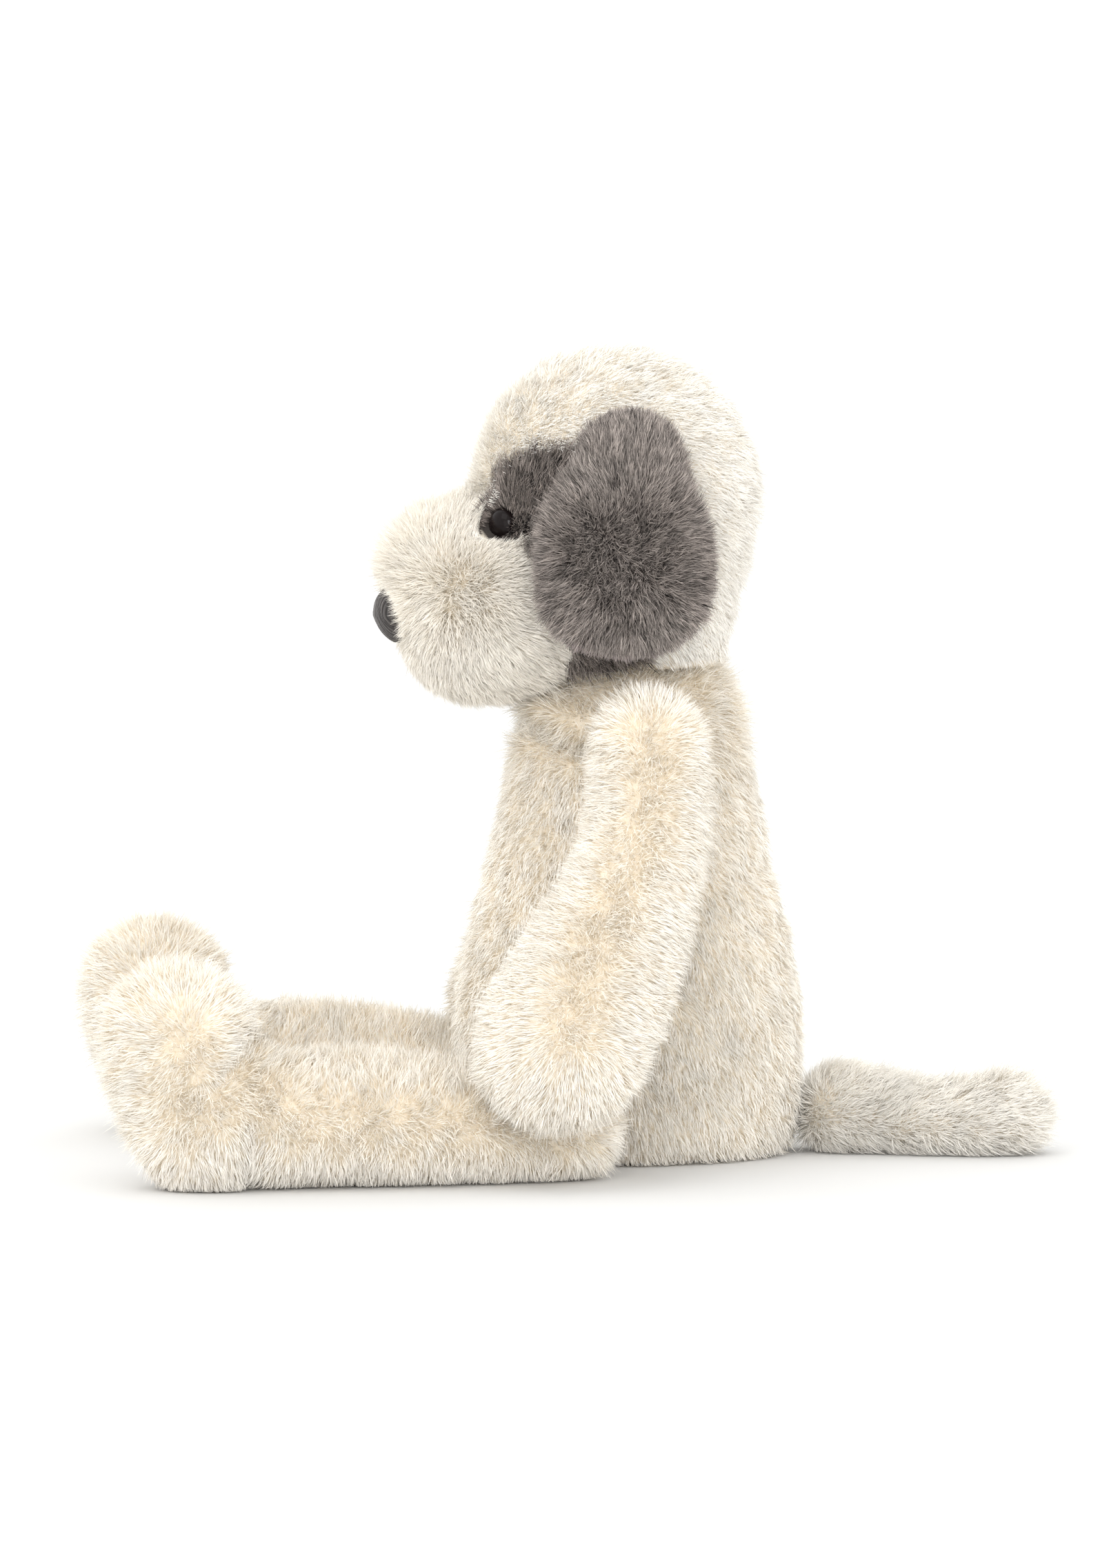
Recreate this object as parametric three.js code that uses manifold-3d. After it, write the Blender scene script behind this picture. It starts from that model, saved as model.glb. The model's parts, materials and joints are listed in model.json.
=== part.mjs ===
// A seated plush puppy: sewn skins over stuffing, pellet bags, safety eyes and a stitched nose.
// Millimetres, +Z up. The puppy faces -Y and its left side is +X. The origin is on the floor,
// under the middle of the whole toy.

import * as THREE from "three";
import { mergeVertices } from "three/addons/utils/BufferGeometryUtils.js";
import Module from "manifold-3d";

const wasm = await Module();
wasm.setup();

// ---------------------------------------------------------------- driving dimensions

const SKIN = 4; // plush backing with its pile pressed down
const SEAM_GAP = 0.3; // between two panels that are sewn together
const FILL_GAP = 0.5; // between a skin and what fills it
const BEAD_GAP = 1.0; // round an eye's bead
const LIMB_GAP = 1.5; // between the torso and a limb beside it
const FAR = 400; // half size of the boxes that cut halves, well past the toy

// Torso: a standing pear with a round dome on top. Each level of the profile gives its height,
// half depth (along Y) and half width (along X) as shares of the three sizes.
const TORSO_HEIGHT = 150; // floor to the centre of the neck's dome
const TORSO_HALF_DEPTH = 61;
const TORSO_HALF_WIDTH = 47;
const TORSO_PROFILE = [
  { z: 0, deep: 0.885, wide: 0.766 },
  { z: 0.067, deep: 0.959, wide: 0.84 },
  { z: 0.267, deep: 1, wide: 0.915 },
  { z: 0.453, deep: 0.951, wide: 1 },
  { z: 0.64, deep: 0.836, wide: 0.957 },
  { z: 0.827, deep: 0.73, wide: 0.883 },
];
const NECK_Y = 0.5;
const NECK_RADIUS = 37.5; // of the torso's dome
const NECK_CLEARANCE = 2.0; // between the dome and the socket in the head
const SEAT_BAG_HEIGHT = 30;

// Head, in its own frame: the origin is the middle of its widest level. The profile's heights are
// shares of the rise from the neck's centre; a dome stands on the last level.
const HEAD_RISE = 85; // from the centre of the neck's dome up to the widest level
const HEAD_FORWARD = 6.5; // from the neck's centre to the head's
const HEAD_HALF_DEPTH = 50;
const HEAD_HALF_WIDTH = 48;
const HEAD_DOME_RISE = 52;
const HEAD_PROFILE = [
  { z: -0.859, deep: 0.647, wide: 0.667, y: 6 },
  { z: -0.671, deep: 0.696, wide: 0.729, y: 4.5 },
  { z: -0.459, deep: 0.804, wide: 0.865, y: 1 },
  { z: -0.247, deep: 0.922, wide: 0.969, y: 0 },
  { z: 0, deep: 1, wide: 1, y: 0 },
];

// Muzzle: a pillow whose side outline (Y, Z about its centre) is carried across the face.
const MUZZLE_SINK = 4; // of its centre behind the front of the head
const MUZZLE_DROP = 37; // of its centre below the head's widest level
const MUZZLE_OUTLINE = [
  [-13, 33], [-29, 24], [-34.5, 9], [-28, -8.5], [-23, -24.5], [-7, -32.5],
  [14, -32.5], [32, -26], [37, -3], [27, 23], [7, 33],
];
const MUZZLE_HALF_WIDTH = 40;
const MUZZLE_SWELL = 2.4; // exponent of the rounding from side to side

// Nose: an oval pad on the front of the muzzle, placed from the muzzle's centre.
const NOSE_OFFSET = [0, -30.2, -4.5];
const NOSE_HALF = [13, 9, 10];

// Eyes: bead, shank and the washer that locks it behind the skin.
const EYE_DIAMETER = 12;
const EYE_DOME = 4.6;
const EYE_EDGE = 0.8;
const EYE_DROP = 8.5; // below the head's widest level
const EYE_AZIMUTH = 35; // degrees from straight ahead, round the head
const EYE_STAND_OFF = 1.0; // from the skin under its middle to the bead's back, for the skin's curve
const SHANK_RADIUS = 2.2;
const SHANK_LENGTH = 11;
const SHANK_CLEARANCE = 0.4;
const WASHER_RADIUS = 7;
const WASHER_THICKNESS = 1.6;
const WASHER_STAND_OFF = 2.8; // inside the skin, clear of its curve

// Side panel of the head: the patch behind the left eye, which runs under the ear to the neck.
// Each point is [share of the head's half depth, Z in the head's frame].
const PATCH_OUTLINE = [
  [-0.765, -21], [-0.863, -9], [-0.853, 8], [-0.725, 15], [-0.392, 18.5], [0.196, 20],
  [0.333, 3], [0.235, -30], [0.059, -HEAD_RISE], [-0.294, -HEAD_RISE], [-0.451, -45],
].map(([share, z]) => [share * HEAD_HALF_DEPTH, z]);

// Ear: a D-shaped section on each side of a centre line that hangs down the side of the head.
// Each point is [out from the head's half width, Y, Z]; the last two hang by the head's rise.
const EAR_LINE = [
  [-5.5, 0, 31], [2.5, 1, 19], [7.5, -0.5, 1], [9, -2.5, -0.341 * HEAD_RISE], [7, -3, -0.635 * HEAD_RISE],
];
const EAR_HALF_WIDTHS = [10.5, 18.5, 26, 31.5, 31.5, 29];
const EAR_OUTER_THICKNESS = 5;
const EAR_LINING_THICKNESS = 3.5;
const EAR_TOP_ROUND = 9;
const EAR_TIP_ROUND = 29;

// Arm, in its own frame: the shoulder at the origin, hanging down -Z, thin along X.
const SHOULDER_RISE = 12; // above the centre of the neck's dome
const ARM_SLANT = 19; // degrees outward from hanging straight down
const ARM_HANG = { left: 0, right: 4 }; // degrees that each arm hangs back from the line below
const ARM_LINE = [[0, 8], [0, -27], [-4, -53], [-12, -75], [-24, -99], [-35, -121], [-42, -146]];
const ARM_HALF_WIDTHS = [17.5, 18.5, 20, 23, 26.5, 29, 28];
const ARM_HALF_THICKNESSES = [13, 15, 15.5, 16, 16.5, 17, 17];
const ARM_TOP_ROUND = 17;
const PAW_ROUND = 28;
const PAW_BAG_TOP = -117;
const SHOULDER = [NECK_RADIUS + LIMB_GAP + ARM_HALF_THICKNESSES[1], 0, TORSO_HEIGHT + SHOULDER_RISE];

// Leg, in its own frame: the hip at the origin on the floor, running out along -Y.
const HIP_FORWARD = 22; // of the middle of the torso
const LEG_SPLAY = 5; // degrees outward from straight ahead
const LEG_LINE = [[11, 16], [-20, 17.5], [-60, 20.5], [-95, 22.5], [-140, 22.5]];
const LEG_HALF_HEIGHTS = [17, 18.5, 22, 24.5, 24];
const LEG_HALF_THICKNESS = 18.5;
const HIP_ROUND = 16;
const HEEL_ROUND = 22;
const FOOT_LINE = [[-124, -2], [-134, 24], [-143, 51], [-145, 77]];
const FOOT_HALF_DEPTHS = [22, 25, 26, 25];
const FOOT_HALF_THICKNESS = 20.5;
const SOLE_ROUND = 20;
const TOE_ROUND = 24;
const FOOT_BAG = { behind: -118, height: 26 };
const HIP_LEVEL = TORSO_PROFILE[2]; // the torso's level that the legs lie against
const HIP = [TORSO_HALF_WIDTH * HIP_LEVEL.wide + LIMB_GAP + LEG_HALF_THICKNESS, -HIP_FORWARD, 0];

// Tail: lies on the floor behind the seat and curls up a little at its tip. Y is measured from
// the back of the torso.
const TAIL_LINE = [[0, 3, 17], [3, 25, 13], [10, 51, 10.5], [15, 70, 12.5], [19, 84, 20]];
const TAIL_HALF_WIDTHS = [13.5, 12.5, 11.5, 12, 11.5];
const TAIL_HALF_HEIGHTS = [16, 13.5, 12, 12.5, 12];
const TAIL_ROUND = 11;
const TAIL_PATH = TAIL_LINE.map(([x, y, z]) => [x, y + TORSO_HALF_DEPTH, z]);

// Facets. Inner surfaces are coarser than the outer ones, and a skin's lining has the same
// facets as the stuffing that it holds.
const OUTER = { sides: 14, rings: 10 };
const INNER = { sides: 10, rings: 7 };
const BIG = { outer: { sides: 22, rings: 7 }, inner: { sides: 14, rings: 5 } };
const FACE = { outer: { sides: 18, rings: 10 }, inner: { sides: 12, rings: 7 } };
const TURNED = { sides: 12, steps: 4 }; // eyes and washers
const SOCKET = { across: 18, up: 14 }; // the head's hollow over the neck
const NOSE = { across: 14, up: 10 };
const DOME_RING_SHARE = 0.75; // rings of a standing form's dome for each ring below it
const WELD = 1e-4; // points nearer than this are one point

// ---------------------------------------------------------------- materials

const finish = (color, roughness) => new THREE.MeshStandardMaterial({ color, roughness, metalness: 0 });
const CREAM_PLUSH = finish(0xe9ddc8, 0.95);
const GREY_PLUSH = finish(0x8b8484, 0.95);
const TAUPE_PLUSH = finish(0x6f6661, 0.95);
const EAR_LINING = finish(0x9a9292, 0.95);
const NOSE_THREAD = finish(0x35302f, 0.8);
const EYE_PLASTIC = finish(0x0d0a09, 0.08);
const WASHER_PLASTIC = finish(0xe6e6e2, 0.5);
const FIBRE = finish(0xf4f2ec, 1.0);
const PELLET_BAG = finish(0xd9dde0, 0.9);

// ---------------------------------------------------------------- solids from geometry

/** The manifold solid of a closed geometry. */
function solidOf(geometry) {
  geometry.deleteAttribute("normal");
  geometry.deleteAttribute("uv");
  const merged = mergeVertices(geometry, WELD);
  return new wasm.Manifold(new wasm.Mesh({
    numProp: 3,
    vertProperties: new Float32Array(merged.attributes.position.array),
    triVerts: new Uint32Array(merged.index.array),
  }));
}

/** The geometry of a manifold solid. */
function geometryOf(solid) {
  const mesh = solid.getMesh();
  const geometry = new THREE.BufferGeometry();
  geometry.setAttribute("position", new THREE.BufferAttribute(mesh.vertProperties, mesh.numProp));
  geometry.setIndex(new THREE.BufferAttribute(mesh.triVerts, 1));
  geometry.computeVertexNormals();
  return geometry;
}

/** A box between two corners. */
function boxOf(low, high) {
  const size = high.map((value, axis) => value - low[axis]);
  const middle = high.map((value, axis) => (value + low[axis]) / 2);
  return solidOf(new THREE.BoxGeometry(...size).translate(...middle));
}

/** A sphere or ellipsoid. */
function ellipsoidOf(centre, half, { across, up }) {
  const geometry = new THREE.SphereGeometry(1, across, up).rotateX(Math.PI / 2);
  return solidOf(geometry.scale(...half).translate(...centre));
}

/** A closed outline of [y, z] points carried along X between two planes. */
function prismOf(outline, fromX, toX) {
  const shape = new THREE.Shape(outline.map(([y, z]) => new THREE.Vector2(y, z)));
  const geometry = new THREE.ExtrudeGeometry(shape, { depth: toX - fromX, bevelEnabled: false });
  const toSide = new THREE.Matrix4().set(0, 0, 1, fromX, 1, 0, 0, 0, 0, 1, 0, 0, 0, 0, 0, 1);
  return solidOf(geometry.applyMatrix4(toSide));
}

/**
 * A closed solid through rings of points, each end closed by a fan on its own end point.
 * Rings run anticlockwise seen from the last end point.
 */
function loftOf(rings, firstPoint, lastPoint) {
  const sides = rings[0].length;
  const points = [firstPoint, ...rings.flat(), lastPoint];
  const last = points.length - 1;
  const index = [];
  const at = (ring, side) => 1 + ring * sides + (side % sides);
  for (let side = 0; side < sides; side++) {
    index.push(0, at(0, side + 1), at(0, side));
    index.push(last, at(rings.length - 1, side), at(rings.length - 1, side + 1));
    for (let ring = 0; ring < rings.length - 1; ring++) {
      index.push(at(ring, side), at(ring, side + 1), at(ring + 1, side + 1));
      index.push(at(ring, side), at(ring + 1, side + 1), at(ring + 1, side));
    }
  }
  const geometry = new THREE.BufferGeometry().setFromPoints(points);
  geometry.setIndex(index);
  return solidOf(geometry);
}

/** A smooth value along a list of numbers, at t from 0 to 1. */
function along(values, t) {
  const curve = new THREE.CatmullRomCurve3(values.map((value) => new THREE.Vector3(value, 0, 0)));
  return curve.getPoint(t).x;
}

/** How far a round end has opened, from 0 at its tip to 1 where it is full. */
const opened = (distance, radius) => (distance >= radius ? 1 : Math.sqrt(1 - (1 - distance / radius) ** 2));

/**
 * A stuffed form: oval rings square to a centre line, rounded off at both ends.
 * `across` is the direction of the half widths; the half heights are square to it.
 * `section` maps an angle to the ring's two unit factors. `inset` shrinks it on every side.
 */
function stuffedForm(form, inset, { sides, rings }) {
  const { line, across, widths, heights, rounds, section = ovalSection } = form;
  const curve = new THREE.CatmullRomCurve3(line.map((point) => new THREE.Vector3(...point)));
  const length = curve.getLength();
  const place = (distance) => curve.getPointAt(THREE.MathUtils.clamp(distance / length, 0, 1));
  const loops = [];
  for (let ring = 1; ring < rings; ring++) {
    const share = (1 - Math.cos((Math.PI * ring) / rings)) / 2;
    const distance = inset + share * (length - 2 * inset);
    const t = distance / length;
    const start = opened(distance - inset, rounds[0] - inset);
    const end = opened(length - inset - distance, rounds[1] - inset);
    const open = start * end;
    const wide = (along(widths, t) - inset) * open;
    const high = (along(heights, t) - inset) * open;
    const tangent = curve.getTangentAt(t);
    const up = new THREE.Vector3().crossVectors(tangent, across).normalize();
    const side = new THREE.Vector3().crossVectors(up, tangent);
    loops.push(Array.from({ length: sides }, (_, step) => {
      const [w, h] = section((2 * Math.PI * step) / sides);
      return place(distance).addScaledVector(side, wide * w).addScaledVector(up, high * h);
    }));
  }
  return loftOf(loops, place(inset), place(length - inset));
}

const ovalSection = (angle) => [Math.cos(angle), Math.sin(angle)];

/** A standing form: level oval rings through the stations, closed below and domed above. */
function domedForm(profile, rise, inset, { sides, rings }) {
  const stations = profile.map(({ z, deep, wide, y }) => [wide, deep, y, z]);
  const value = (column, t) => along(stations.map((station) => station[column]), t);
  const domeRings = Math.ceil(rings * DOME_RING_SHARE);
  const loop = (wide, deep, y, z) => Array.from({ length: sides }, (_, step) => {
    const angle = (2 * Math.PI * step) / sides;
    return new THREE.Vector3(wide * Math.cos(angle), y + deep * Math.sin(angle), z);
  });
  const loops = [];
  for (let ring = 0; ring <= rings; ring++) {
    const t = ring / rings;
    loops.push(loop(value(0, t) - inset, value(1, t) - inset, value(2, t), value(3, t)));
  }
  const top = profile[profile.length - 1];
  for (let ring = 1; ring < domeRings; ring++) {
    const angle = (Math.PI / 2) * (ring / domeRings);
    const shrink = Math.cos(angle);
    const z = top.z + (rise - inset) * Math.sin(angle);
    loops.push(loop((top.wide - inset) * shrink, (top.deep - inset) * shrink, top.y, z));
  }
  const foot = new THREE.Vector3(0, profile[0].y, profile[0].z);
  return loftOf(loops, foot, new THREE.Vector3(0, top.y, top.z + rise - inset));
}

/** What lies at or above a level. */
const above = (solid, level) => solid.intersect(boxOf([-FAR, -FAR, level], [FAR, FAR, FAR]));
const below = (solid, level) => solid.intersect(boxOf([-FAR, -FAR, -FAR], [FAR, FAR, level]));

/** The part of a solid on one side of the plane X = 0, clear of the seam. */
function half(solid, side) {
  const near = (side * SEAM_GAP) / 2;
  const ends = [near, side * FAR].sort((a, b) => a - b);
  return solid.intersect(boxOf([ends[0], -FAR, -FAR], [ends[1], FAR, FAR]));
}

/** A geometry seen in a mirror on the plane X = 0. */
function mirrored(geometry) {
  const copy = geometry.clone().scale(-1, 1, 1);
  const index = copy.index.array;
  for (let face = 0; face < index.length; face += 3) {
    [index[face], index[face + 1]] = [index[face + 1], index[face]];
  }
  copy.computeVertexNormals();
  return copy;
}

function piece(name, geometry, material) {
  const mesh = new THREE.Mesh(geometry, material);
  mesh.name = name;
  return mesh;
}

const solidPiece = (name, solid, material) => piece(name, geometryOf(solid), material);

const SIDES = [
  { label: "left", side: 1 },
  { label: "right", side: -1 },
];

// ---------------------------------------------------------------- torso

function torsoForm(inset, facets) {
  const levels = TORSO_PROFILE.map(({ z, deep, wide }) => ({
    z: z * TORSO_HEIGHT,
    deep: deep * TORSO_HALF_DEPTH,
    wide: wide * TORSO_HALF_WIDTH,
    y: z * NECK_Y,
  }));
  const neck = { z: TORSO_HEIGHT, deep: NECK_RADIUS, wide: NECK_RADIUS, y: NECK_Y };
  return above(domedForm([...levels, neck], NECK_RADIUS, inset, facets), inset);
}

function torso() {
  const group = new THREE.Group();
  const skin = torsoForm(0, BIG.outer).subtract(torsoForm(SKIN, BIG.inner));
  for (const { label, side } of SIDES) {
    group.add(solidPiece(`torso_skin_${label}`, half(skin, side), CREAM_PLUSH));
  }
  const filling = torsoForm(SKIN + FILL_GAP, BIG.inner);
  group.add(solidPiece("seat_pellet_bag", below(filling, SEAT_BAG_HEIGHT), PELLET_BAG));
  group.add(solidPiece("torso_stuffing", above(filling, SEAT_BAG_HEIGHT + FILL_GAP), FIBRE));
  return group;
}

// ---------------------------------------------------------------- head and muzzle

const HEAD_LEVELS = HEAD_PROFILE.map(({ z, deep, wide, y }) => ({
  z: z * HEAD_RISE,
  deep: deep * HEAD_HALF_DEPTH,
  wide: wide * HEAD_HALF_WIDTH,
  y,
}));
const MUZZLE_CENTRE = [0, MUZZLE_SINK - HEAD_HALF_DEPTH, -MUZZLE_DROP];

const headForm = (inset, facets) => domedForm(HEAD_LEVELS, HEAD_DOME_RISE, inset, facets);

/** The hollow under the head that turns on the torso's dome, in the head's frame. */
function neckSocket(extra) {
  const radius = NECK_RADIUS + NECK_CLEARANCE + extra;
  return ellipsoidOf([0, HEAD_FORWARD, -HEAD_RISE], [radius, radius, radius], SOCKET);
}

/** The muzzle's outline, scaled about its centre and narrowed towards each cheek. */
function muzzleForm(inset, { sides, rings }) {
  const curve = new THREE.CatmullRomCurve3(MUZZLE_OUTLINE.map(([y, z]) => new THREE.Vector3(0, y, z)), true);
  const outline = curve.getSpacedPoints(sides).slice(0, sides);
  const radius = outline.reduce((sum, point) => sum + point.length(), 0) / sides;
  const reach = MUZZLE_HALF_WIDTH - inset;
  const place = (x) => new THREE.Vector3(...MUZZLE_CENTRE).setX(x);
  const loops = [];
  for (let ring = 1; ring < rings; ring++) {
    const share = -Math.cos((Math.PI * ring) / rings);
    const swell = (1 - Math.abs(share) ** MUZZLE_SWELL) ** (1 / MUZZLE_SWELL);
    const scale = swell * (1 - inset / radius);
    loops.push(outline.map((point) => place(reach * share).addScaledVector(point, scale)));
  }
  return loftOf(loops, place(-reach), place(reach));
}

/** The point of the head's surface under an eye, and the way the eye faces there. */
function eyeSeat(side) {
  const [lower, widest] = HEAD_LEVELS.slice(-2);
  const share = EYE_DROP / (widest.z - lower.z);
  const at = (key) => THREE.MathUtils.lerp(widest[key], lower[key], share);
  const angle = THREE.MathUtils.degToRad(EYE_AZIMUTH);
  const facing = new THREE.Vector3(side * Math.sin(angle), -Math.cos(angle), 0);
  const spread = Math.hypot(at("wide") * facing.x, at("deep") * facing.y);
  const point = new THREE.Vector3(
    (at("wide") ** 2 * facing.x) / spread, at("y") + (at("deep") ** 2 * facing.y) / spread, -EYE_DROP);
  return { point, facing };
}

/** Turns a piece made along +Z so that it sits at an eye, facing out. */
function placeAtEye(geometry, { point, facing }) {
  const turn = new THREE.Quaternion().setFromUnitVectors(new THREE.Vector3(0, 0, 1), facing);
  return geometry.applyQuaternion(turn).translate(...point);
}

/** A cylinder along an eye's axis, from one height over the skin to another. */
function eyeBore(seat, radius, from, to) {
  const cylinder = new THREE.CylinderGeometry(radius, radius, to - from, TURNED.sides).rotateX(Math.PI / 2);
  return solidOf(placeAtEye(cylinder.translate(0, 0, (from + to) / 2), seat));
}

/** Bead and shank in one turned profile. */
function eyeGeometry(seat) {
  const radius = EYE_DIAMETER / 2;
  const crown = EYE_STAND_OFF + EYE_EDGE;
  const profile = [[0, EYE_STAND_OFF - SHANK_LENGTH], [SHANK_RADIUS, EYE_STAND_OFF - SHANK_LENGTH],
    [SHANK_RADIUS, EYE_STAND_OFF], [radius, EYE_STAND_OFF]];
  for (let step = 0; step < TURNED.steps; step++) {
    const angle = (Math.PI / 2) * (step / TURNED.steps);
    profile.push([radius * Math.cos(angle), crown + EYE_DOME * Math.sin(angle)]);
  }
  profile.push([0, crown + EYE_DOME]);
  return placeAtEye(turnedAboutZ(profile), seat);
}

function washerGeometry(seat) {
  const top = -SKIN - WASHER_STAND_OFF;
  const hole = SHANK_RADIUS + SHANK_CLEARANCE;
  const profile = [[hole, top - WASHER_THICKNESS], [WASHER_RADIUS, top - WASHER_THICKNESS],
    [WASHER_RADIUS, top], [hole, top], [hole, top - WASHER_THICKNESS]];
  return placeAtEye(turnedAboutZ(profile), seat);
}

/** A profile of [radius, height] points turned about the Z axis. */
function turnedAboutZ(profile) {
  const points = profile.map(([radius, height]) => new THREE.Vector2(radius, height));
  return geometryOf(solidOf(new THREE.LatheGeometry(points, TURNED.sides).rotateX(Math.PI / 2)));
}

function head() {
  const group = new THREE.Group();
  const seats = SIDES.map(({ side }) => eyeSeat(side));
  const cut = (solid, tools) => tools.reduce((rest, tool) => rest.subtract(tool), solid);
  const shankHoles = seats.map((seat) => eyeBore(seat, SHANK_RADIUS + SHANK_CLEARANCE, -SHANK_LENGTH, SKIN));
  const pockets = seats.map((seat) => eyeBore(seat, WASHER_RADIUS + FILL_GAP, -SHANK_LENGTH - FILL_GAP, 0));

  const shell = headForm(0, BIG.outer).subtract(headForm(SKIN, BIG.inner));
  const skin = cut(shell, [neckSocket(0), ...shankHoles]);
  const patchPrism = prismOf(PATCH_OUTLINE, SEAM_GAP / 2, FAR);
  const patchGap = prismOf(grown(PATCH_OUTLINE, SEAM_GAP), 0, FAR);
  group.add(solidPiece("head_skin_left", half(skin, 1).subtract(patchGap), CREAM_PLUSH));
  group.add(solidPiece("head_skin_right", half(skin, -1), CREAM_PLUSH));
  group.add(solidPiece("head_side_patch", skin.intersect(patchPrism), TAUPE_PLUSH));
  const filling = headForm(SKIN + FILL_GAP, BIG.inner);
  group.add(solidPiece("head_stuffing", cut(filling, [neckSocket(FILL_GAP), ...pockets]), FIBRE));

  SIDES.forEach(({ label }, place) => {
    group.add(piece(`eye_${label}`, eyeGeometry(seats[place]), EYE_PLASTIC));
    group.add(piece(`eye_washer_${label}`, washerGeometry(seats[place]), WASHER_PLASTIC));
  });

  const behind = headForm(-SEAM_GAP, BIG.outer);
  const beads = seats.map((seat) => eyeBore(seat, EYE_DIAMETER / 2 + BEAD_GAP, -SKIN, SHANK_LENGTH));
  const face = cut(muzzleForm(0, FACE.outer), [behind, neckSocket(0), ...beads]);
  const muzzleSkin = face.subtract(muzzleForm(SKIN, FACE.inner));
  for (const { label, side } of SIDES) {
    group.add(solidPiece(`muzzle_skin_${label}`, half(muzzleSkin, side), CREAM_PLUSH));
  }
  const muzzleFilling = cut(muzzleForm(SKIN + FILL_GAP, FACE.inner), [behind, neckSocket(0)]);
  group.add(solidPiece("muzzle_stuffing", muzzleFilling, FIBRE));
  const noseCentre = MUZZLE_CENTRE.map((value, axis) => value + NOSE_OFFSET[axis]);
  const nose = ellipsoidOf(noseCentre, NOSE_HALF, NOSE).subtract(muzzleForm(-SEAM_GAP, FACE.outer));
  group.add(solidPiece("nose", nose, NOSE_THREAD));
  return group;
}

/** An outline of [y, z] points grown outward about its middle by a small distance. */
function grown(outline, distance) {
  const middle = [0, 1].map((axis) => outline.reduce((sum, point) => sum + point[axis], 0) / outline.length);
  return outline.map(([y, z]) => {
    const reach = Math.hypot(y - middle[0], z - middle[1]);
    const scale = (reach + distance) / reach;
    return [middle[0] + (y - middle[0]) * scale, middle[1] + (z - middle[1]) * scale];
  });
}

// ---------------------------------------------------------------- ears

/** Half an oval: full on one side of the centre line, flat and half a seam away on it. */
const domeSection = (angle) => [Math.cos(angle), Math.max(Math.sin(angle), 0)];

function earPanel(thickness, face) {
  const form = {
    line: EAR_LINE.map(([out, y, z]) => [HEAD_HALF_WIDTH + out + (face * SEAM_GAP) / 2, y, z]),
    across: new THREE.Vector3(0, face, 0),
    widths: EAR_HALF_WIDTHS,
    heights: EAR_HALF_WIDTHS.map(() => thickness),
    rounds: [EAR_TOP_ROUND, EAR_TIP_ROUND],
    section: domeSection,
  };
  return geometryOf(stuffedForm(form, 0, OUTER));
}

function ear({ label, side }) {
  const group = new THREE.Group();
  const placed = (geometry) => (side > 0 ? geometry : mirrored(geometry));
  group.add(piece(`ear_outer_${label}`, placed(earPanel(EAR_OUTER_THICKNESS, 1)), GREY_PLUSH));
  group.add(piece(`ear_lining_${label}`, placed(earPanel(EAR_LINING_THICKNESS, -1)), EAR_LINING));
  return group;
}

// ---------------------------------------------------------------- arms, legs and tail

const ACROSS_X = new THREE.Vector3(1, 0, 0);

/** The two sewn panels of a limb that is thin along X, named for the way each one faces. */
function panels(name, label, side, skin) {
  return [
    solidPiece(`${name}_outer_panel_${label}`, half(skin, side), CREAM_PLUSH),
    solidPiece(`${name}_inner_panel_${label}`, half(skin, -side), CREAM_PLUSH),
  ];
}

function armForm(inset, facets) {
  return stuffedForm({
    line: ARM_LINE.map(([y, z]) => [0, y, z]),
    across: ACROSS_X,
    widths: ARM_HALF_THICKNESSES,
    heights: ARM_HALF_WIDTHS,
    rounds: [ARM_TOP_ROUND, PAW_ROUND],
  }, inset, facets);
}

function arm({ label, side }) {
  const group = new THREE.Group();
  const filling = armForm(SKIN + FILL_GAP, INNER);
  group.add(...panels("arm", label, side, armForm(0, OUTER).subtract(armForm(SKIN, INNER))));
  group.add(solidPiece(`arm_stuffing_${label}`, above(filling, PAW_BAG_TOP + FILL_GAP), FIBRE));
  group.add(solidPiece(`paw_pellet_bag_${label}`, below(filling, PAW_BAG_TOP), PELLET_BAG));
  group.position.set(side * SHOULDER[0], SHOULDER[1], SHOULDER[2]);
  const hang = THREE.MathUtils.degToRad(ARM_HANG[label]);
  group.rotation.set(hang, -side * THREE.MathUtils.degToRad(ARM_SLANT), 0);
  return group;
}

function legForm(inset, facets) {
  const shin = stuffedForm({
    line: LEG_LINE.map(([y, z]) => [0, y, z]),
    across: ACROSS_X,
    widths: LEG_HALF_HEIGHTS.map(() => LEG_HALF_THICKNESS),
    heights: LEG_HALF_HEIGHTS,
    rounds: [HIP_ROUND, HEEL_ROUND],
  }, inset, facets);
  const foot = stuffedForm({
    line: FOOT_LINE.map(([y, z]) => [0, y, z]),
    across: ACROSS_X,
    widths: FOOT_HALF_DEPTHS.map(() => FOOT_HALF_THICKNESS),
    heights: FOOT_HALF_DEPTHS,
    rounds: [SOLE_ROUND, TOE_ROUND],
  }, inset, facets);
  return above(shin.add(foot), inset);
}

function leg({ label, side }) {
  const group = new THREE.Group();
  const filling = legForm(SKIN + FILL_GAP, INNER);
  const bagSpace = (gap) =>
    boxOf([-FAR, -FAR, -FAR], [FAR, FOOT_BAG.behind + gap, FOOT_BAG.height + gap]);
  group.add(...panels("leg", label, side, legForm(0, OUTER).subtract(legForm(SKIN, INNER))));
  group.add(solidPiece(`leg_stuffing_${label}`, filling.subtract(bagSpace(FILL_GAP)), FIBRE));
  group.add(solidPiece(`foot_pellet_bag_${label}`, filling.intersect(bagSpace(0)), PELLET_BAG));
  group.position.set(side * HIP[0], HIP[1], HIP[2]);
  group.rotation.z = side * THREE.MathUtils.degToRad(LEG_SPLAY);
  return group;
}

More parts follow.
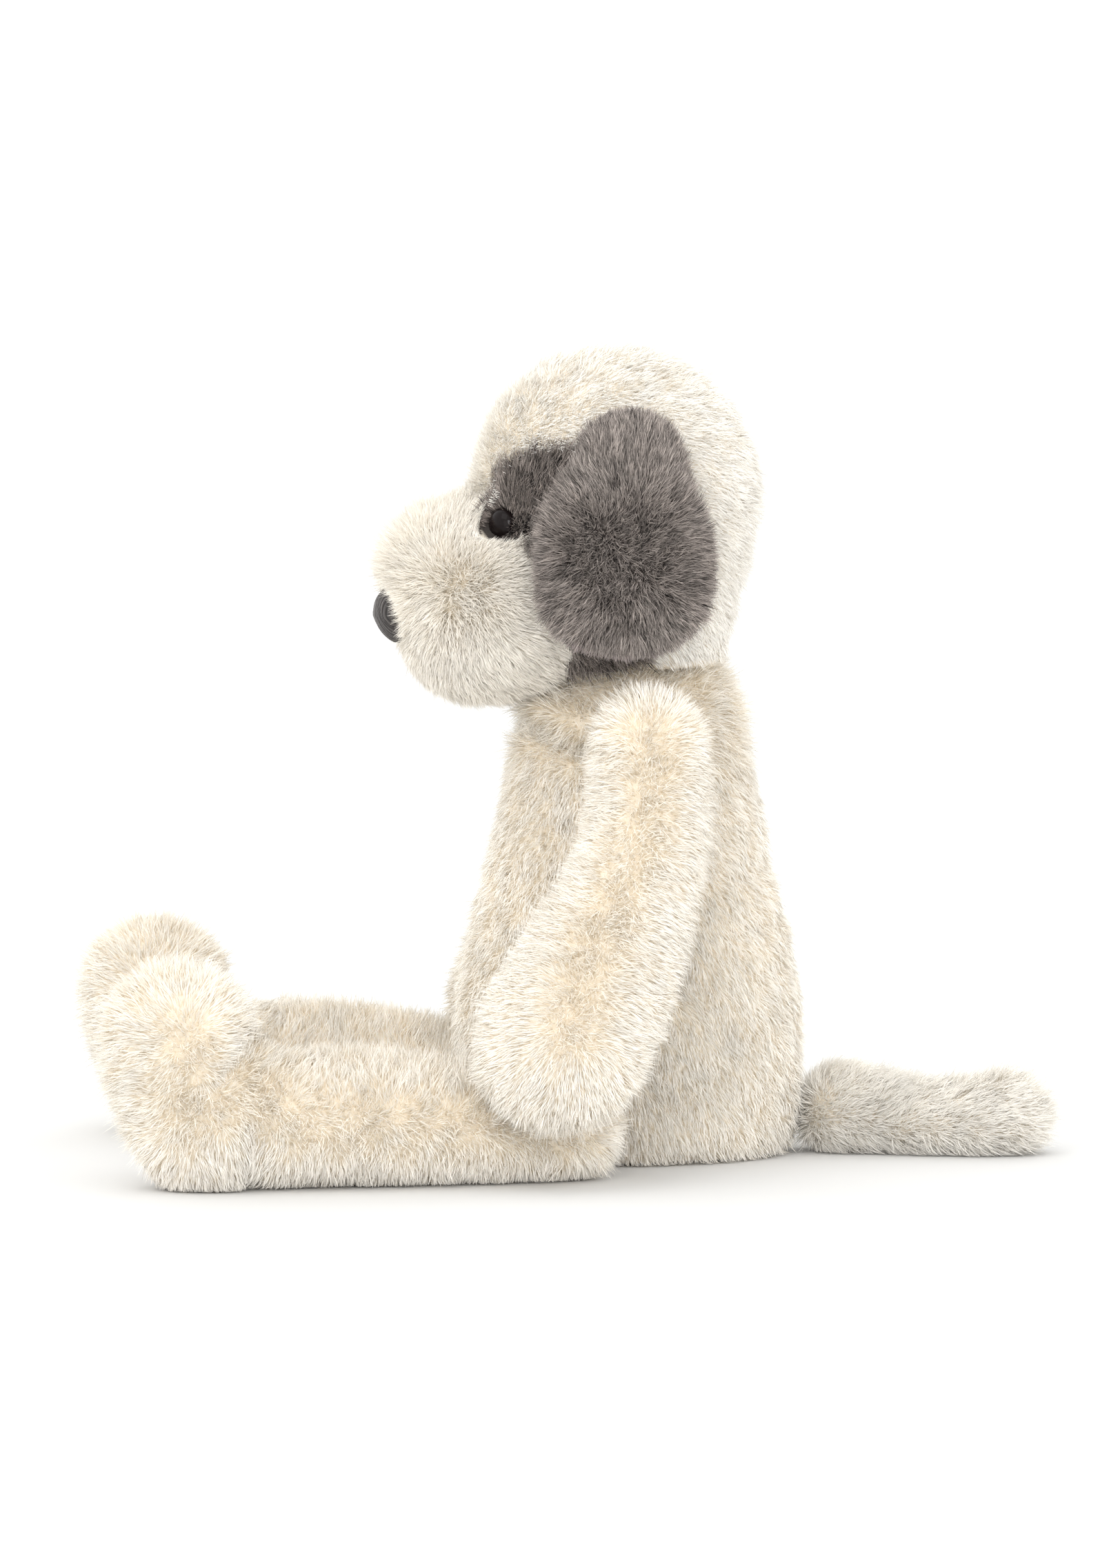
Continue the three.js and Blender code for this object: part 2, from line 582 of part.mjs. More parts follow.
function tailForm(inset, facets) {
  const form = stuffedForm({
    line: TAIL_PATH,
    across: ACROSS_X,
    widths: TAIL_HALF_WIDTHS,
    heights: TAIL_HALF_HEIGHTS,
    rounds: [TAIL_ROUND, TAIL_ROUND],
  }, inset, facets);
  return above(form, inset);
}

/** All the space on one side of an upright sheet along the tail's centre line. */
function besideTail(side) {
  const bend = new THREE.CatmullRomCurve3(TAIL_PATH.map(([x, y]) => new THREE.Vector3(x, y, 0)));
  const path = bend.getSpacedPoints(TAIL_LINE.length * 2);
  const first = path[0];
  const last = path[path.length - 1];
  const edge = [first.clone().setY(first.y - TAIL_ROUND), ...path, last.clone().setY(last.y + TAIL_ROUND)]
    .map(({ x, y }) => new THREE.Vector2(x + (side * SEAM_GAP) / 2, y));
  const far = [edge[edge.length - 1], edge[0]].map(({ y }) => new THREE.Vector2(side * FAR, y));
  const outline = new THREE.Shape([...edge, ...far]);
  return solidOf(new THREE.ExtrudeGeometry(outline, { depth: FAR, bevelEnabled: false }));
}

function tail() {
  const group = new THREE.Group();
  const skin = tailForm(0, OUTER).subtract(tailForm(SKIN, INNER));
  for (const { label, side } of SIDES) {
    group.add(solidPiece(`tail_panel_${label}`, skin.intersect(besideTail(side)), CREAM_PLUSH));
  }
  group.add(solidPiece("tail_stuffing", tailForm(SKIN + FILL_GAP, INNER), FIBRE));
  return group;
}

// ---------------------------------------------------------------- the toy

const puppy = new THREE.Group();
const headFrame = new THREE.Group();
headFrame.position.set(0, NECK_Y - HEAD_FORWARD, TORSO_HEIGHT + HEAD_RISE);
headFrame.add(head(), ...SIDES.map(ear));
puppy.add(torso(), headFrame, tail(), ...SIDES.map(arm), ...SIDES.map(leg));

// Centre the toy over the origin, front to back and side to side.
puppy.updateMatrixWorld(true);
const middle = new THREE.Box3().setFromObject(puppy, true).getCenter(new THREE.Vector3());
puppy.position.set(-middle.x, -middle.y, 0);

export default puppy;
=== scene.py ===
"""Looks of a seated plush puppy: padded skins under a combed pile, glass-black eyes, a stitched nose."""

import json

import bpy
import numpy as np
from bpy.props import FloatProperty, FloatVectorProperty, IntProperty, PointerProperty
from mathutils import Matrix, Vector


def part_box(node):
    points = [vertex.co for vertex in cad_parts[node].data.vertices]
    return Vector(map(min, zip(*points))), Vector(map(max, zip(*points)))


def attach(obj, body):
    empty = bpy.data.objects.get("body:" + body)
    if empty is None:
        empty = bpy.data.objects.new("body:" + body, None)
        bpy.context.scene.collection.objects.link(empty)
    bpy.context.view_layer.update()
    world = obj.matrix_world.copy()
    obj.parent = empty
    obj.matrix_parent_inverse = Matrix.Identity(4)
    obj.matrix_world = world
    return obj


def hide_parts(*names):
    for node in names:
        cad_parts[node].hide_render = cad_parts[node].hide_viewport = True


bl_info = {
    "name": "Plush Puppy",
    "version": (1, 0, 0),
    "blender": (4, 5, 0),
    "location": "View3D > Sidebar > Plush Puppy",
    "description": "Builds the plush, the eyes, the nose and the studio of a seated toy puppy",
    "category": "Object",
}

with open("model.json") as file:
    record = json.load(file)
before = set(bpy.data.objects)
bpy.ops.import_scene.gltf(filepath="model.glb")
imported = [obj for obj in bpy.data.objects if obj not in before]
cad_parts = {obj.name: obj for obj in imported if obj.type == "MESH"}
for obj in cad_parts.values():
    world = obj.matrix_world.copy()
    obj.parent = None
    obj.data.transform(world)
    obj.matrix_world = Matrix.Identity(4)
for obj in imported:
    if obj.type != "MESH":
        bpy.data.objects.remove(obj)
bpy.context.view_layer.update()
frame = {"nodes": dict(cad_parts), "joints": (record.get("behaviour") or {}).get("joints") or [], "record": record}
SIDES = (("left", 1.0), ("right", -1.0))
BODIES = frame["record"]["behaviour"]["bodies"]
NECK = np.array(next(joint for joint in frame["joints"] if joint["name"] == "head_nod")["pos_m"])

# Lengths in metres.
SKIN_FLOOR = 0.0006  # the lowest that a skin may reach
PILE_FLOOR = 0.0004  # the lowest that a strand may reach
BARE_BASE = 0.0012  # the limbs and the tail grow no pile below this
ROOT_DEPTH = 0.0006  # how far a strand starts under its skin
NECK_HOLLOW = 0.0440  # no pile grows this near the neck joint, inside the head
EYE_RADIUS = 0.0060
EYE_EDGE = 0.0008  # height of the bead's rolled edge
EYE_DOME = 0.0046  # height of the dome over the edge
EYE_SHANK = 0.0110  # how far the shank reaches behind the edge
EYE_RIM = 0.0048  # strands that would cover a bead are moved this far from its middle
EYE_BARE = 0.0050  # no pile grows nearer to the middle of a bead
EYE_REACH = 0.02  # how far along its axis an eye bends the pile
STITCH = 0.0013  # width of a stitch of the nose

# ---------------------------------------------------------------- settings


def colour(name, description, default):
    return FloatVectorProperty(
        name=name, description=description, default=default, subtype="COLOR", size=3, min=0, max=1
    )


def number(name, description, default, **limits):
    return FloatProperty(name=name, description=description, default=default, **limits)


def length(name, description, default):
    return number(name, description, default, min=0, unit="LENGTH", precision=5)


class PUPPY_PG_pile(bpy.types.PropertyGroup):
    """How the pile grows."""

    torso: length("Torso pile", "Length of the torso's pile", 0.0056)
    head: length("Head pile", "Length of the pile on the crown and the cheeks", 0.0050)
    muzzle: length("Muzzle pile", "Length of the muzzle's pile", 0.0058)
    ear: length("Ear pile", "Length of the pile on the outside of the ears", 0.0056)
    lining: length("Ear lining pile", "Length of the pile on the inside of the ears", 0.0040)
    limb: length("Limb pile", "Length of the pile on the arms and legs", 0.0056)
    tail: length("Tail pile", "Length of the tail's pile", 0.0070)
    width: length("Strand width", "Width of a strand at its root", 0.00028)
    density: number("Strand count", "Share of the full number of strands", 0.925, min=0.01, max=1)
    lock: length("Lock spacing", "Distance between two locks of pile", 0.0022)
    wander: number("Wander", "How far the pile strays from its comb", 0.16, min=0)
    wander_size: length("Wander size", "Distance over which the pile strays one way", 0.014)
    stray: number("Lock stray", "How far each lock leans its own way", 0.1, min=0)
    gather: number("Gather", "How far a strand's tip leans to its lock's", 0.5, min=0, max=1)


class PUPPY_PG_skin(bpy.types.PropertyGroup):
    """How the padded skins swell."""

    voxel: length("Remesh size", "Size of the grid that joins a piece's panels", 0.0050)
    thin_voxel: length("Thin remesh size", "Size of that grid on the ears", 0.0028)
    pressure: number("Pressure", "Stuffing pressure on the cloth", 4.0)
    swell: length("Swell", "The furthest that a panel may swell", 0.0022)
    lump: length("Lumps", "Height of the lumps of the stuffing", 0.0008)
    steps: IntProperty(name="Steps", description="Cloth steps", default=20, min=1)


class PUPPY_PG_colours(bpy.types.PropertyGroup):
    """Colours of the toy. The pile's root colours hold painted shade, and the pale pile holds painted light."""

    # Each pile has a tip colour and a darker root colour. The root colours are painted shade: they stand in for
    # the shade deep in the pile, between its strands and its locks.
    cream: colour("Cream", "Tips of the cream pile", (0.965, 0.928, 0.862))
    cream_root: colour("Cream roots", "Roots of the cream pile", (0.91, 0.81, 0.655))
    muzzle: colour("Muzzle", "Tips of the muzzle's pile", (0.95, 0.908, 0.835))
    muzzle_root: colour("Muzzle roots", "Roots of the muzzle's pile", (0.93, 0.85, 0.72))
    # Pale: a paler cream than the rest. It is painted light that makes the head and the tail lighter, standing in
    # for the light that falls on them.
    pale: colour("Pale", "Tips of the head's cream pile", (0.985, 0.957, 0.905))
    pale_root: colour("Pale roots", "Roots of the head's cream pile", (0.97, 0.92, 0.835))
    ear: colour("Ear", "Tips of the ears' pile", (0.36, 0.317, 0.291))
    ear_root: colour("Ear roots", "Roots of the ears' pile", (0.05, 0.039, 0.034))
    patch: colour("Patch", "Tips of the patch's pile", (0.31, 0.268, 0.243))
    patch_root: colour("Patch roots", "Roots of the patch's pile", (0.035, 0.028, 0.024))
    lining: colour("Ear lining", "Tips of the ear linings' pile", (0.42, 0.36, 0.35))
    lining_root: colour("Ear lining roots", "Roots of the ear linings' pile", (0.20, 0.15, 0.14))
    eye: colour("Eye", "Moulded plastic of the eyes", (0.006, 0.004, 0.004))
    nose: colour("Nose", "Thread of the nose", (0.075, 0.068, 0.066))
    floor: colour("Floor", "Floor of the studio", (0.74, 0.74, 0.735))


class PUPPY_PG_studio(bpy.types.PropertyGroup):
    """Camera and lights."""

    azimuth: number("Azimuth", "Camera round the toy, from its front", 84.0)
    elevation: number("Elevation", "Camera above the horizon", 5.2)
    distance: length("Distance", "Camera to the middle of the picture", 3.0)
    target_y: number("Target Y", "Middle of the picture, front to back", -0.0032, unit="LENGTH")
    target_z: number("Target Z", "Middle of the picture, above the floor", 0.1324, unit="LENGTH")
    lens: number("Lens", "Focal length in millimetres", 193.8)
    key: number("Key light", "Power of the large light above", 3.0)
    fill: number("Fill light", "Power of the light at the side", 2.4)
    window: number("Window", "Power of the light that only shows in glossy pieces", 10.0)
    room: number("Room", "Strength of the room's own light", 1.43)


class PUPPY_PG_settings(bpy.types.PropertyGroup):
    """All the settings of the toy."""

    pile: PointerProperty(type=PUPPY_PG_pile)
    skin: PointerProperty(type=PUPPY_PG_skin)
    colours: PointerProperty(type=PUPPY_PG_colours)
    studio: PointerProperty(type=PUPPY_PG_studio)


def settings():
    return bpy.context.scene.plush_puppy


# ---------------------------------------------------------------- vectors and meshes


def unit(vectors):
    """Each row scaled to length one."""
    return vectors / np.maximum(np.linalg.norm(vectors, axis=-1, keepdims=True), 1e-12)


def smoothstep(low, high, values):
    """0 below low, 1 above high, and 3t^2 - 2t^3 between."""
    t = np.clip((values - low) / (high - low), 0, 1)
    return t * t * (3 - 2 * t)


def across(vectors, normals):
    """What is left of each vector when its part along the normal is taken away."""
    return vectors - normals * (vectors * normals).sum(1, keepdims=True)


def about_axis(places, middle, facing):
    """Each place's height along an axis through the middle, and what is left of it square to that."""
    off = places - middle
    depth = off @ facing
    return depth, off - depth[:, None] * facing


def box_of(*names):
    """The lowest and the highest corner of the box round some CAD nodes."""
    boxes = np.array([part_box(name) for name in names])
    return boxes[:, 0].min(0), boxes[:, 1].max(0)


def wrapped_quads(rows, sides):
    """Quads of a grid of points whose last column joins its first."""
    row, step = np.meshgrid(np.arange(rows - 1), np.arange(sides), indexing="ij")
    after = (step + 1) % sides
    low, high = row * sides, (row + 1) * sides
    return np.stack([low + step, low + after, high + after, high + step], -1).reshape(-1, 4)


def mesh_arrays(mesh):
    """Positions, vertex normals and triangles of a mesh."""
    points = np.empty(len(mesh.vertices) * 3)
    mesh.vertices.foreach_get("co", points)
    normals = np.empty(len(mesh.vertices) * 3)
    mesh.vertices.foreach_get("normal", normals)
    mesh.calc_loop_triangles()
    triangles = np.empty(len(mesh.loop_triangles) * 3, np.int32)
    mesh.loop_triangles.foreach_get("vertices", triangles)
    return points.reshape(-1, 3), normals.reshape(-1, 3), triangles.reshape(-1, 3)


def new_piece(name, points, faces, body, material, smooth=True):
    """A mesh object from whole arrays of points and of faces with the same number of corners."""
    mesh = bpy.data.meshes.new(name)
    corners = faces.shape[1]
    mesh.vertices.add(len(points))
    mesh.loops.add(faces.size)
    mesh.polygons.add(len(faces))
    mesh.vertices.foreach_set("co", np.asarray(points, np.float32).ravel())
    mesh.loops.foreach_set("vertex_index", np.asarray(faces, np.int32).ravel())
    mesh.polygons.foreach_set("loop_start", np.arange(0, faces.size, corners, dtype=np.int32))
    mesh.polygons.foreach_set("use_smooth", np.full(len(faces), smooth))
    mesh.update(calc_edges=True)
    piece = bpy.data.objects.new(name, mesh)
    bpy.context.scene.collection.objects.link(piece)
    if material:
        mesh.materials.append(material)
    if body:
        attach(piece, body)
    return piece


def write_vectors(piece, name, values):
    """A vector for each point of the piece, for its material to read."""
    own = piece.data.attributes.new(name, "FLOAT_VECTOR", "POINT")
    own.data.foreach_set("vector", values.astype(np.float32).ravel())


def write_points(piece, points):
    piece.data.vertices.foreach_set("co", points.astype(np.float32).ravel())
    piece.data.update()


def new_mesh(piece, mesh):
    """Gives the piece another mesh and drops its old one."""
    old = piece.data
    name = old.name
    piece.data = mesh
    bpy.data.meshes.remove(old)
    mesh.name = name
    return piece


def evaluated_mesh(piece):
    """A new mesh with the piece's modifiers applied."""
    graph = bpy.context.evaluated_depsgraph_get()
    return bpy.data.meshes.new_from_object(piece.evaluated_get(graph))


def applied(piece):
    """Puts the result of the piece's modifiers into its own mesh."""
    made = evaluated_mesh(piece)
    piece.modifiers.clear()
    return new_mesh(piece, made)


# ---------------------------------------------------------------- materials


def node(tree, kind, **values):
    """A new node, with its properties and its unlinked inputs set by name."""
    made = tree.nodes.new(kind)
    for key, value in values.items():
        if key in made.inputs:
            made.inputs[key].default_value = value
        else:
            setattr(made, key, value)
    return made


def computed(tree, operation, *values):
    """The output of a Math node, its inputs linked to sockets or set to numbers."""
    made = node(tree, "ShaderNodeMath", operation=operation)
    for taken, value in zip(made.inputs, values):
        if isinstance(value, bpy.types.NodeSocket):
            tree.links.new(value, taken)
        else:
            taken.default_value = value
    return made.outputs[0]


def in_object_space(tree, kind, **values):
    """A texture node in the piece's own space."""
    made = node(tree, kind, **values)
    tree.links.new(node(tree, "ShaderNodeTexCoord").outputs["Object"], made.inputs["Vector"])
    return made


def between_tones(tree, factor, first, second):
    """A colour from the first to the second as the factor goes from 0 to 1."""
    tone = node(tree, "ShaderNodeMix", data_type="RGBA")
    tone.inputs["A"].default_value = (*first, 1)
    tone.inputs["B"].default_value = (*second, 1)
    tree.links.new(factor, tone.inputs["Factor"])
    return tone.outputs["Result"]


def between_numbers(tree, factor, first, second):
    """A number from the first to the second as the factor goes from 0 to 1."""
    spread = node(tree, "ShaderNodeMapRange")
    tree.links.new(factor, spread.inputs["Value"])
    spread.inputs["To Min"].default_value = first
    spread.inputs["To Max"].default_value = second
    return spread.outputs["Result"]


def parts_of(tree, attribute):
    """The three numbers of a vector that each point holds."""
    own = node(tree, "ShaderNodeAttribute", attribute_name=attribute)
    parts = node(tree, "ShaderNodeSeparateXYZ")
    tree.links.new(own.outputs["Vector"], parts.inputs[0])
    return parts.outputs


def pile_group():
    """The colour of a strand: its root colour, painted shade deep in the pile, mixed along it into its tip colour,
    paler or darker by its own and its lock's random value, with a slow drift over the whole toy."""
    if "Pile colour" in bpy.data.node_groups:
        return bpy.data.node_groups["Pile colour"]
    group = bpy.data.node_groups.new("Pile colour", "ShaderNodeTree")
    for name in ("Root", "Tip"):
        group.interface.new_socket(name, in_out="INPUT", socket_type="NodeSocketColor")
    for name in ("Strand spread", "Lock spread", "Root reach"):
        group.interface.new_socket(name, in_out="INPUT", socket_type="NodeSocketFloat")
    group.interface.new_socket("Color", in_out="OUTPUT", socket_type="NodeSocketColor")
    group.interface.new_socket("Roughness", in_out="OUTPUT", socket_type="NodeSocketFloat")
    link = group.links.new
    taken = node(group, "NodeGroupInput").outputs
    given = node(group, "NodeGroupOutput").inputs
    parts = parts_of(group, "strand")
    drift = in_object_space(group, "ShaderNodeTexNoise", Scale=34.0, Detail=3.0, Roughness=0.55)
    # Along the strand, from 0 at its root to 1 where the tip colour is full: over this reach the root's painted
    # shade fades into the tip colour.
    reach = node(group, "ShaderNodeMapRange", interpolation_type="SMOOTHSTEP")
    link(parts["X"], reach.inputs["Value"])
    link(taken["Root reach"], reach.inputs["From Max"])
    mixed = node(group, "ShaderNodeMix", data_type="RGBA")
    link(reach.outputs["Result"], mixed.inputs["Factor"])
    link(taken["Root"], mixed.inputs["A"])
    link(taken["Tip"], mixed.inputs["B"])
    # Brightness: one, plus each random value about its middle times its spread.
    strand = computed(group, "MULTIPLY_ADD", parts["Y"], taken["Strand spread"], 1.0)
    lock = computed(group, "MULTIPLY_ADD", parts["Z"], taken["Lock spread"], strand)
    slow = computed(group, "MULTIPLY_ADD", drift.outputs["Fac"], 0.22, lock)
    toned = node(group, "ShaderNodeVectorMath", operation="SCALE")
    link(mixed.outputs["Result"], toned.inputs[0])
    link(computed(group, "SUBTRACT", slow, 0.11), toned.inputs["Scale"])
    link(toned.outputs[0], given["Color"])
    link(between_numbers(group, parts["X"], 0.95, 0.62), given["Roughness"])
    return group


def surface(name, **constants):
    """A new material with a Principled BSDF, its constant sockets set by name."""
    material = bpy.data.materials.new(name)
    material.use_nodes = True
    shader = next(n for n in material.node_tree.nodes if n.type == "BSDF_PRINCIPLED")
    for key, value in constants.items():
        shader.inputs[key].default_value = value
    return material, material.node_tree, shader


def pile_material(kind):
    """Brushed pile in the colours of its kind, made once: the shared strand colour, with a soft
    sheen on the fibres. The dark piles vary more from strand to strand than the pale ones."""
    name = f"{kind}_pile"
    if name in bpy.data.materials:
        return bpy.data.materials[name]
    fibre = {"Specular IOR Level": 0.25, "Sheen Weight": 0.1, "Sheen Roughness": 0.5}
    material, tree, shader = surface(name, **fibre)
    shader.inputs["Sheen Tint"].default_value = (1.0, 0.97, 0.93, 1)
    strands = node(tree, "ShaderNodeGroup", node_tree=pile_group())
    colours = settings().colours
    strands.inputs["Root"].default_value = (*getattr(colours, f"{kind}_root"), 1)
    strands.inputs["Tip"].default_value = (*getattr(colours, kind), 1)
    # The dark piles vary more by strand and by lock, and their root colour, which is painted shade, reaches
    # further up each strand.
    spreads = (1.3, 0.6, 0.75) if kind in ("ear", "patch") else (0.25, 0.12, 0.55)
    for key, value in zip(("Strand spread", "Lock spread", "Root reach"), spreads):
        strands.inputs[key].default_value = value
    tree.links.new(strands.outputs["Color"], shader.inputs["Base Color"])
    tree.links.new(strands.outputs["Roughness"], shader.inputs["Roughness"])
    return material


def backing_material(name, dark, tip, patch):
    """Knitted backing of the plush: mottled colour with rows of fine loops as a bump, and the colour
    of the patch where the attribute "dark" is 1."""
    material, tree, shader = surface(name, Roughness=0.95)
    mottle = in_object_space(tree, "ShaderNodeTexNoise", Scale=420.0, Detail=4.0, Roughness=0.7)
    loops = in_object_space(tree, "ShaderNodeTexVoronoi", Scale=900.0)
    pale = (x * 0.6 + y * 0.4 for x, y in zip(dark, tip))
    mixed = between_tones(tree, mottle.outputs["Fac"], dark, pale)
    own = node(tree, "ShaderNodeAttribute", attribute_name="dark")
    dyed = node(tree, "ShaderNodeMix", data_type="RGBA")
    dyed.inputs["B"].default_value = (*patch, 1)
    tree.links.new(own.outputs["Fac"], dyed.inputs["Factor"])
    tree.links.new(mixed, dyed.inputs["A"])
    tree.links.new(dyed.outputs["Result"], shader.inputs["Base Color"])
    bump = node(tree, "ShaderNodeBump", Strength=0.5, Distance=0.0006)
    tree.links.new(loops.outputs["Distance"], bump.inputs["Height"])
    tree.links.new(bump.outputs["Normal"], shader.inputs["Normal"])
    return material


def cloudy_material(name, scale, first, second, **constants):
    """A plain material whose colour drifts between two tones."""
    material, tree, shader = surface(name, **constants)
    cloud = in_object_space(tree, "ShaderNodeTexNoise", Scale=scale, Detail=2.0).outputs["Fac"]
    tree.links.new(between_tones(tree, cloud, first, second), shader.inputs["Base Color"])
    return material, tree, shader, cloud


# ---------------------------------------------------------------- padded skins


def joined_copy(name, nodes):
    """CAD nodes copied into one mesh, with the corners that lie together merged."""
    points, faces, start = [], [], 0
    for source in nodes:
        own_points, _, own_faces = mesh_arrays(frame["nodes"][source].data)
        points.append(own_points)
        faces.append(own_faces + start)
        start += len(own_points)
    points, faces = np.concatenate(points), np.concatenate(faces)
    _, first, same = np.unique(np.round(points, 6), axis=0, return_index=True, return_inverse=True)
    return new_piece(name, points[first], same.reshape(-1)[faces], None, None)


def remeshed(piece, voxel, smoothing):
    """One closed skin over the piece, its facets smoothed away."""
    grid = piece.modifiers.new("Join", "REMESH")
    grid.mode = "VOXEL"
    grid.voxel_size = voxel
    grid.use_smooth_shade = True
    ease = piece.modifiers.new("Ease", "SMOOTH")
    ease.factor = 0.5
    ease.iterations = smoothing
    return applied(piece)


def keep_largest(piece):
    """Leaves out the small closed shells that a remesh makes inside the piece: each point is
    labelled with the lowest label along its edges until nothing changes."""
    points, _, triangles = mesh_arrays(piece.data)
    label = np.arange(len(points))
    pairs = np.concatenate([triangles[:, [0, 1]], triangles[:, [1, 2]], triangles[:, [2, 0]]])
    for _ in range(400):
        low = np.minimum(label[pairs[:, 0]], label[pairs[:, 1]])
        new = label.copy()
        np.minimum.at(new, pairs[:, 0], low)
        np.minimum.at(new, pairs[:, 1], low)
        new = new[new]
        if (new == label).all():
            break
        label = new
    values, counts = np.unique(label, return_counts=True)
    kept = label == values[counts.argmax()]
    place = np.cumsum(kept) - 1
    faces = place[triangles[kept[triangles[:, 0]]]]
    mesh = bpy.data.meshes.new("largest")
    mesh.from_pydata(points[kept].tolist(), [], faces.tolist())
    mesh.update()
    return new_mesh(piece, mesh)


def lumps(points, normals):
    """How far the stuffing pushes each point out: three sine waves of different ways and lengths."""
    waves = (
        ((41, 23, 17), 1.3, 0.5),
        ((-29, 53, 37), 0.4, 0.3),
        ((67, -31, 71), 2.1, 0.2),
    )
    heights = sum(np.sin(points @ np.array(way) * 3.1 + start) * share for way, start, share in waves)
    return normals * heights[:, None]


def back_creases(points, normals):
    """Short creases beside the back seam. Each is a groove with a bell-shaped section that rises to
    the rear, and it fades at its ends."""
    creases = (  # height, slope, depth
        (0.112, 0.35, 0.0022),
        (0.101, -0.15, 0.0015),
        (0.088, 0.3, 0.0018),
        (0.071, 0.2, 0.0012),
    )
    width = 0.0026
    rear = points[:, 1].max()
    ends = smoothstep(rear - 0.060, rear - 0.035, points[:, 1])
    ends = ends * (1 - smoothstep(0.030, 0.042, np.abs(points[:, 0])))
    total = np.zeros(len(points))
    for height, slope, depth in creases:
        above = points[:, 2] - height - slope * (points[:, 1] - rear)
        total -= depth * np.exp(-((above / width) ** 2)) * ends
    return normals * total[:, None]


def collar_fold(points, normals):
    """The fold under the chin: a groove across the front of the torso that fades to the sides, with
    a soft roll above it. Both have a bell-shaped section."""
    above = points[:, 2] - NECK[2] - 0.004 + 0.29 * (points[:, 1] - NECK[1] + 0.040)
    front = 1 - smoothstep(NECK[1] - 0.022, NECK[1] - 0.004, points[:, 1])
    groove = np.exp(-((above / 0.0030) ** 2)) * -0.0050
    roll = np.exp(-(((above - 0.008) / 0.004) ** 2)) * 0.0022
    return normals * ((groove + roll) * front)[:, None]


def swollen(piece, start_inset, seam_distance):
    """Stuffing pressure on cloth. The skin starts a little inside its full size, each panel swells
    between its seams, and no point moves further than the cap."""
    skin = settings().skin
    points, normals, _ = mesh_arrays(piece.data)
    points = points - normals * start_inset
    write_points(piece, points)
    mean_swell = skin.swell * 0.8
    cloth = piece.modifiers.new("Stuffing", "CLOTH")
    cloth.settings.quality = 4
    cloth.settings.use_pressure = True
    cloth.settings.uniform_pressure_force = skin.pressure
    cloth.settings.effector_weights.gravity = 0
    cloth.settings.mass = 0.15
    cloth.settings.tension_stiffness = 12
    cloth.settings.compression_stiffness = 12
    cloth.settings.bending_stiffness = 0.4
    cloth.collision_settings.use_collision = False
    for step in range(1, skin.steps + 1):
        bpy.context.scene.frame_set(step)
    result = evaluated_mesh(piece)
    moved = mesh_arrays(result)[0]
    bpy.data.meshes.remove(result)
    piece.modifiers.clear()
    bpy.context.scene.frame_set(1)
    step = moved - points
    step += normals * (mean_swell - (step * normals).sum(1).mean())
    size = np.linalg.norm(step, axis=1, keepdims=True)
    step *= np.minimum(1, skin.swell * 1.5 / np.maximum(size, 1e-9))
    # A seam holds back most of the swell beside it.
    held = 1 - 0.75 * np.exp(-((seam_distance / 0.004) ** 2))
    points = points + step * held[:, None] + lumps(points, normals) * skin.lump
    if piece.name == "torso_skin":
        points = points + collar_fold(points, normals) + back_creases(points, normals)
    points[:, 2] = np.maximum(points[:, 2], SKIN_FLOOR)
    write_points(piece, points)
    return piece


def sewn_into(body):
    """The CAD nodes that a body's skin stands for: all but the eyes, their washers and the nose."""
    return [name for name in BODIES[body] if "eye" not in name and name != "nose"]


def finished_skin(piece, body, material):
    """One level of subdivision, then the piece takes its material and smooth shading, rides on its body, and the
    CAD nodes sewn into it are hidden.
    """
    finer = piece.modifiers.new("Finer", "SUBSURF")
    finer.levels = finer.render_levels = 1
    applied(piece)
    piece.data.materials.clear()
    piece.data.materials.append(material)
    piece.data.polygons.foreach_set("use_smooth", np.full(len(piece.data.polygons), True))
    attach(piece, body)
    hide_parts(*sewn_into(body))
    return piece


def seam_beside(body, points):
    """Distance of each point from the plane between a limb's or an ear's two panels."""
    normal, middle = panel_axis(body)
    return np.abs((points - middle) @ normal)


def panel_axis(body):
    """The way that the outer panel of a limb or ear faces, and the middle between the panels."""
    outer = next(name for name in BODIES[body] if "outer" in name)
    inner = next(name for name in BODIES[body] if "inner" in name or "lining" in name)
    outer_middle = mesh_arrays(frame["nodes"][outer].data)[0].mean(0)
    inner_middle = mesh_arrays(frame["nodes"][inner].data)[0].mean(0)
    return unit(outer_middle - inner_middle), (outer_middle + inner_middle) / 2


def build_skin(body, material, voxel, smoothing, inset, seam):
    """The padded skin of a body, from a joined copy of everything sewn into it."""
    piece = remeshed(joined_copy(f"{body}_skin", sewn_into(body)), voxel, smoothing)
    keep_largest(piece)
    swollen(piece, inset, seam(mesh_arrays(piece.data)[0]))
    return finished_skin(piece, body, material)


# ---------------------------------------------------------------- pile


def nearest_on_line(points, line):
    """For each point, the nearest point on a line of joined segments."""
    best = np.full(len(points), np.inf)
    found = np.zeros_like(points)
    for start, end in zip(line[:-1], line[1:]):
        span = end - start
        t = np.clip(((points - start) @ span) / (span @ span), 0, 1)
        place = start + t[:, None] * span
        distance = ((points - place) ** 2).sum(1)
        nearer = distance < best
        best[nearer] = distance[nearer]
        found[nearer] = place[nearer]
    return found


def nearest_of(points, centres):
    """The number of the nearest centre to each point."""
    result = np.empty(len(points), np.int32)
    squares = (centres**2).sum(1)
    for start in range(0, len(points), 4000):
        block = points[start : start + 4000]
        result[start : start + 4000] = (squares - 2 * block @ centres.T).argmin(1)
    return result


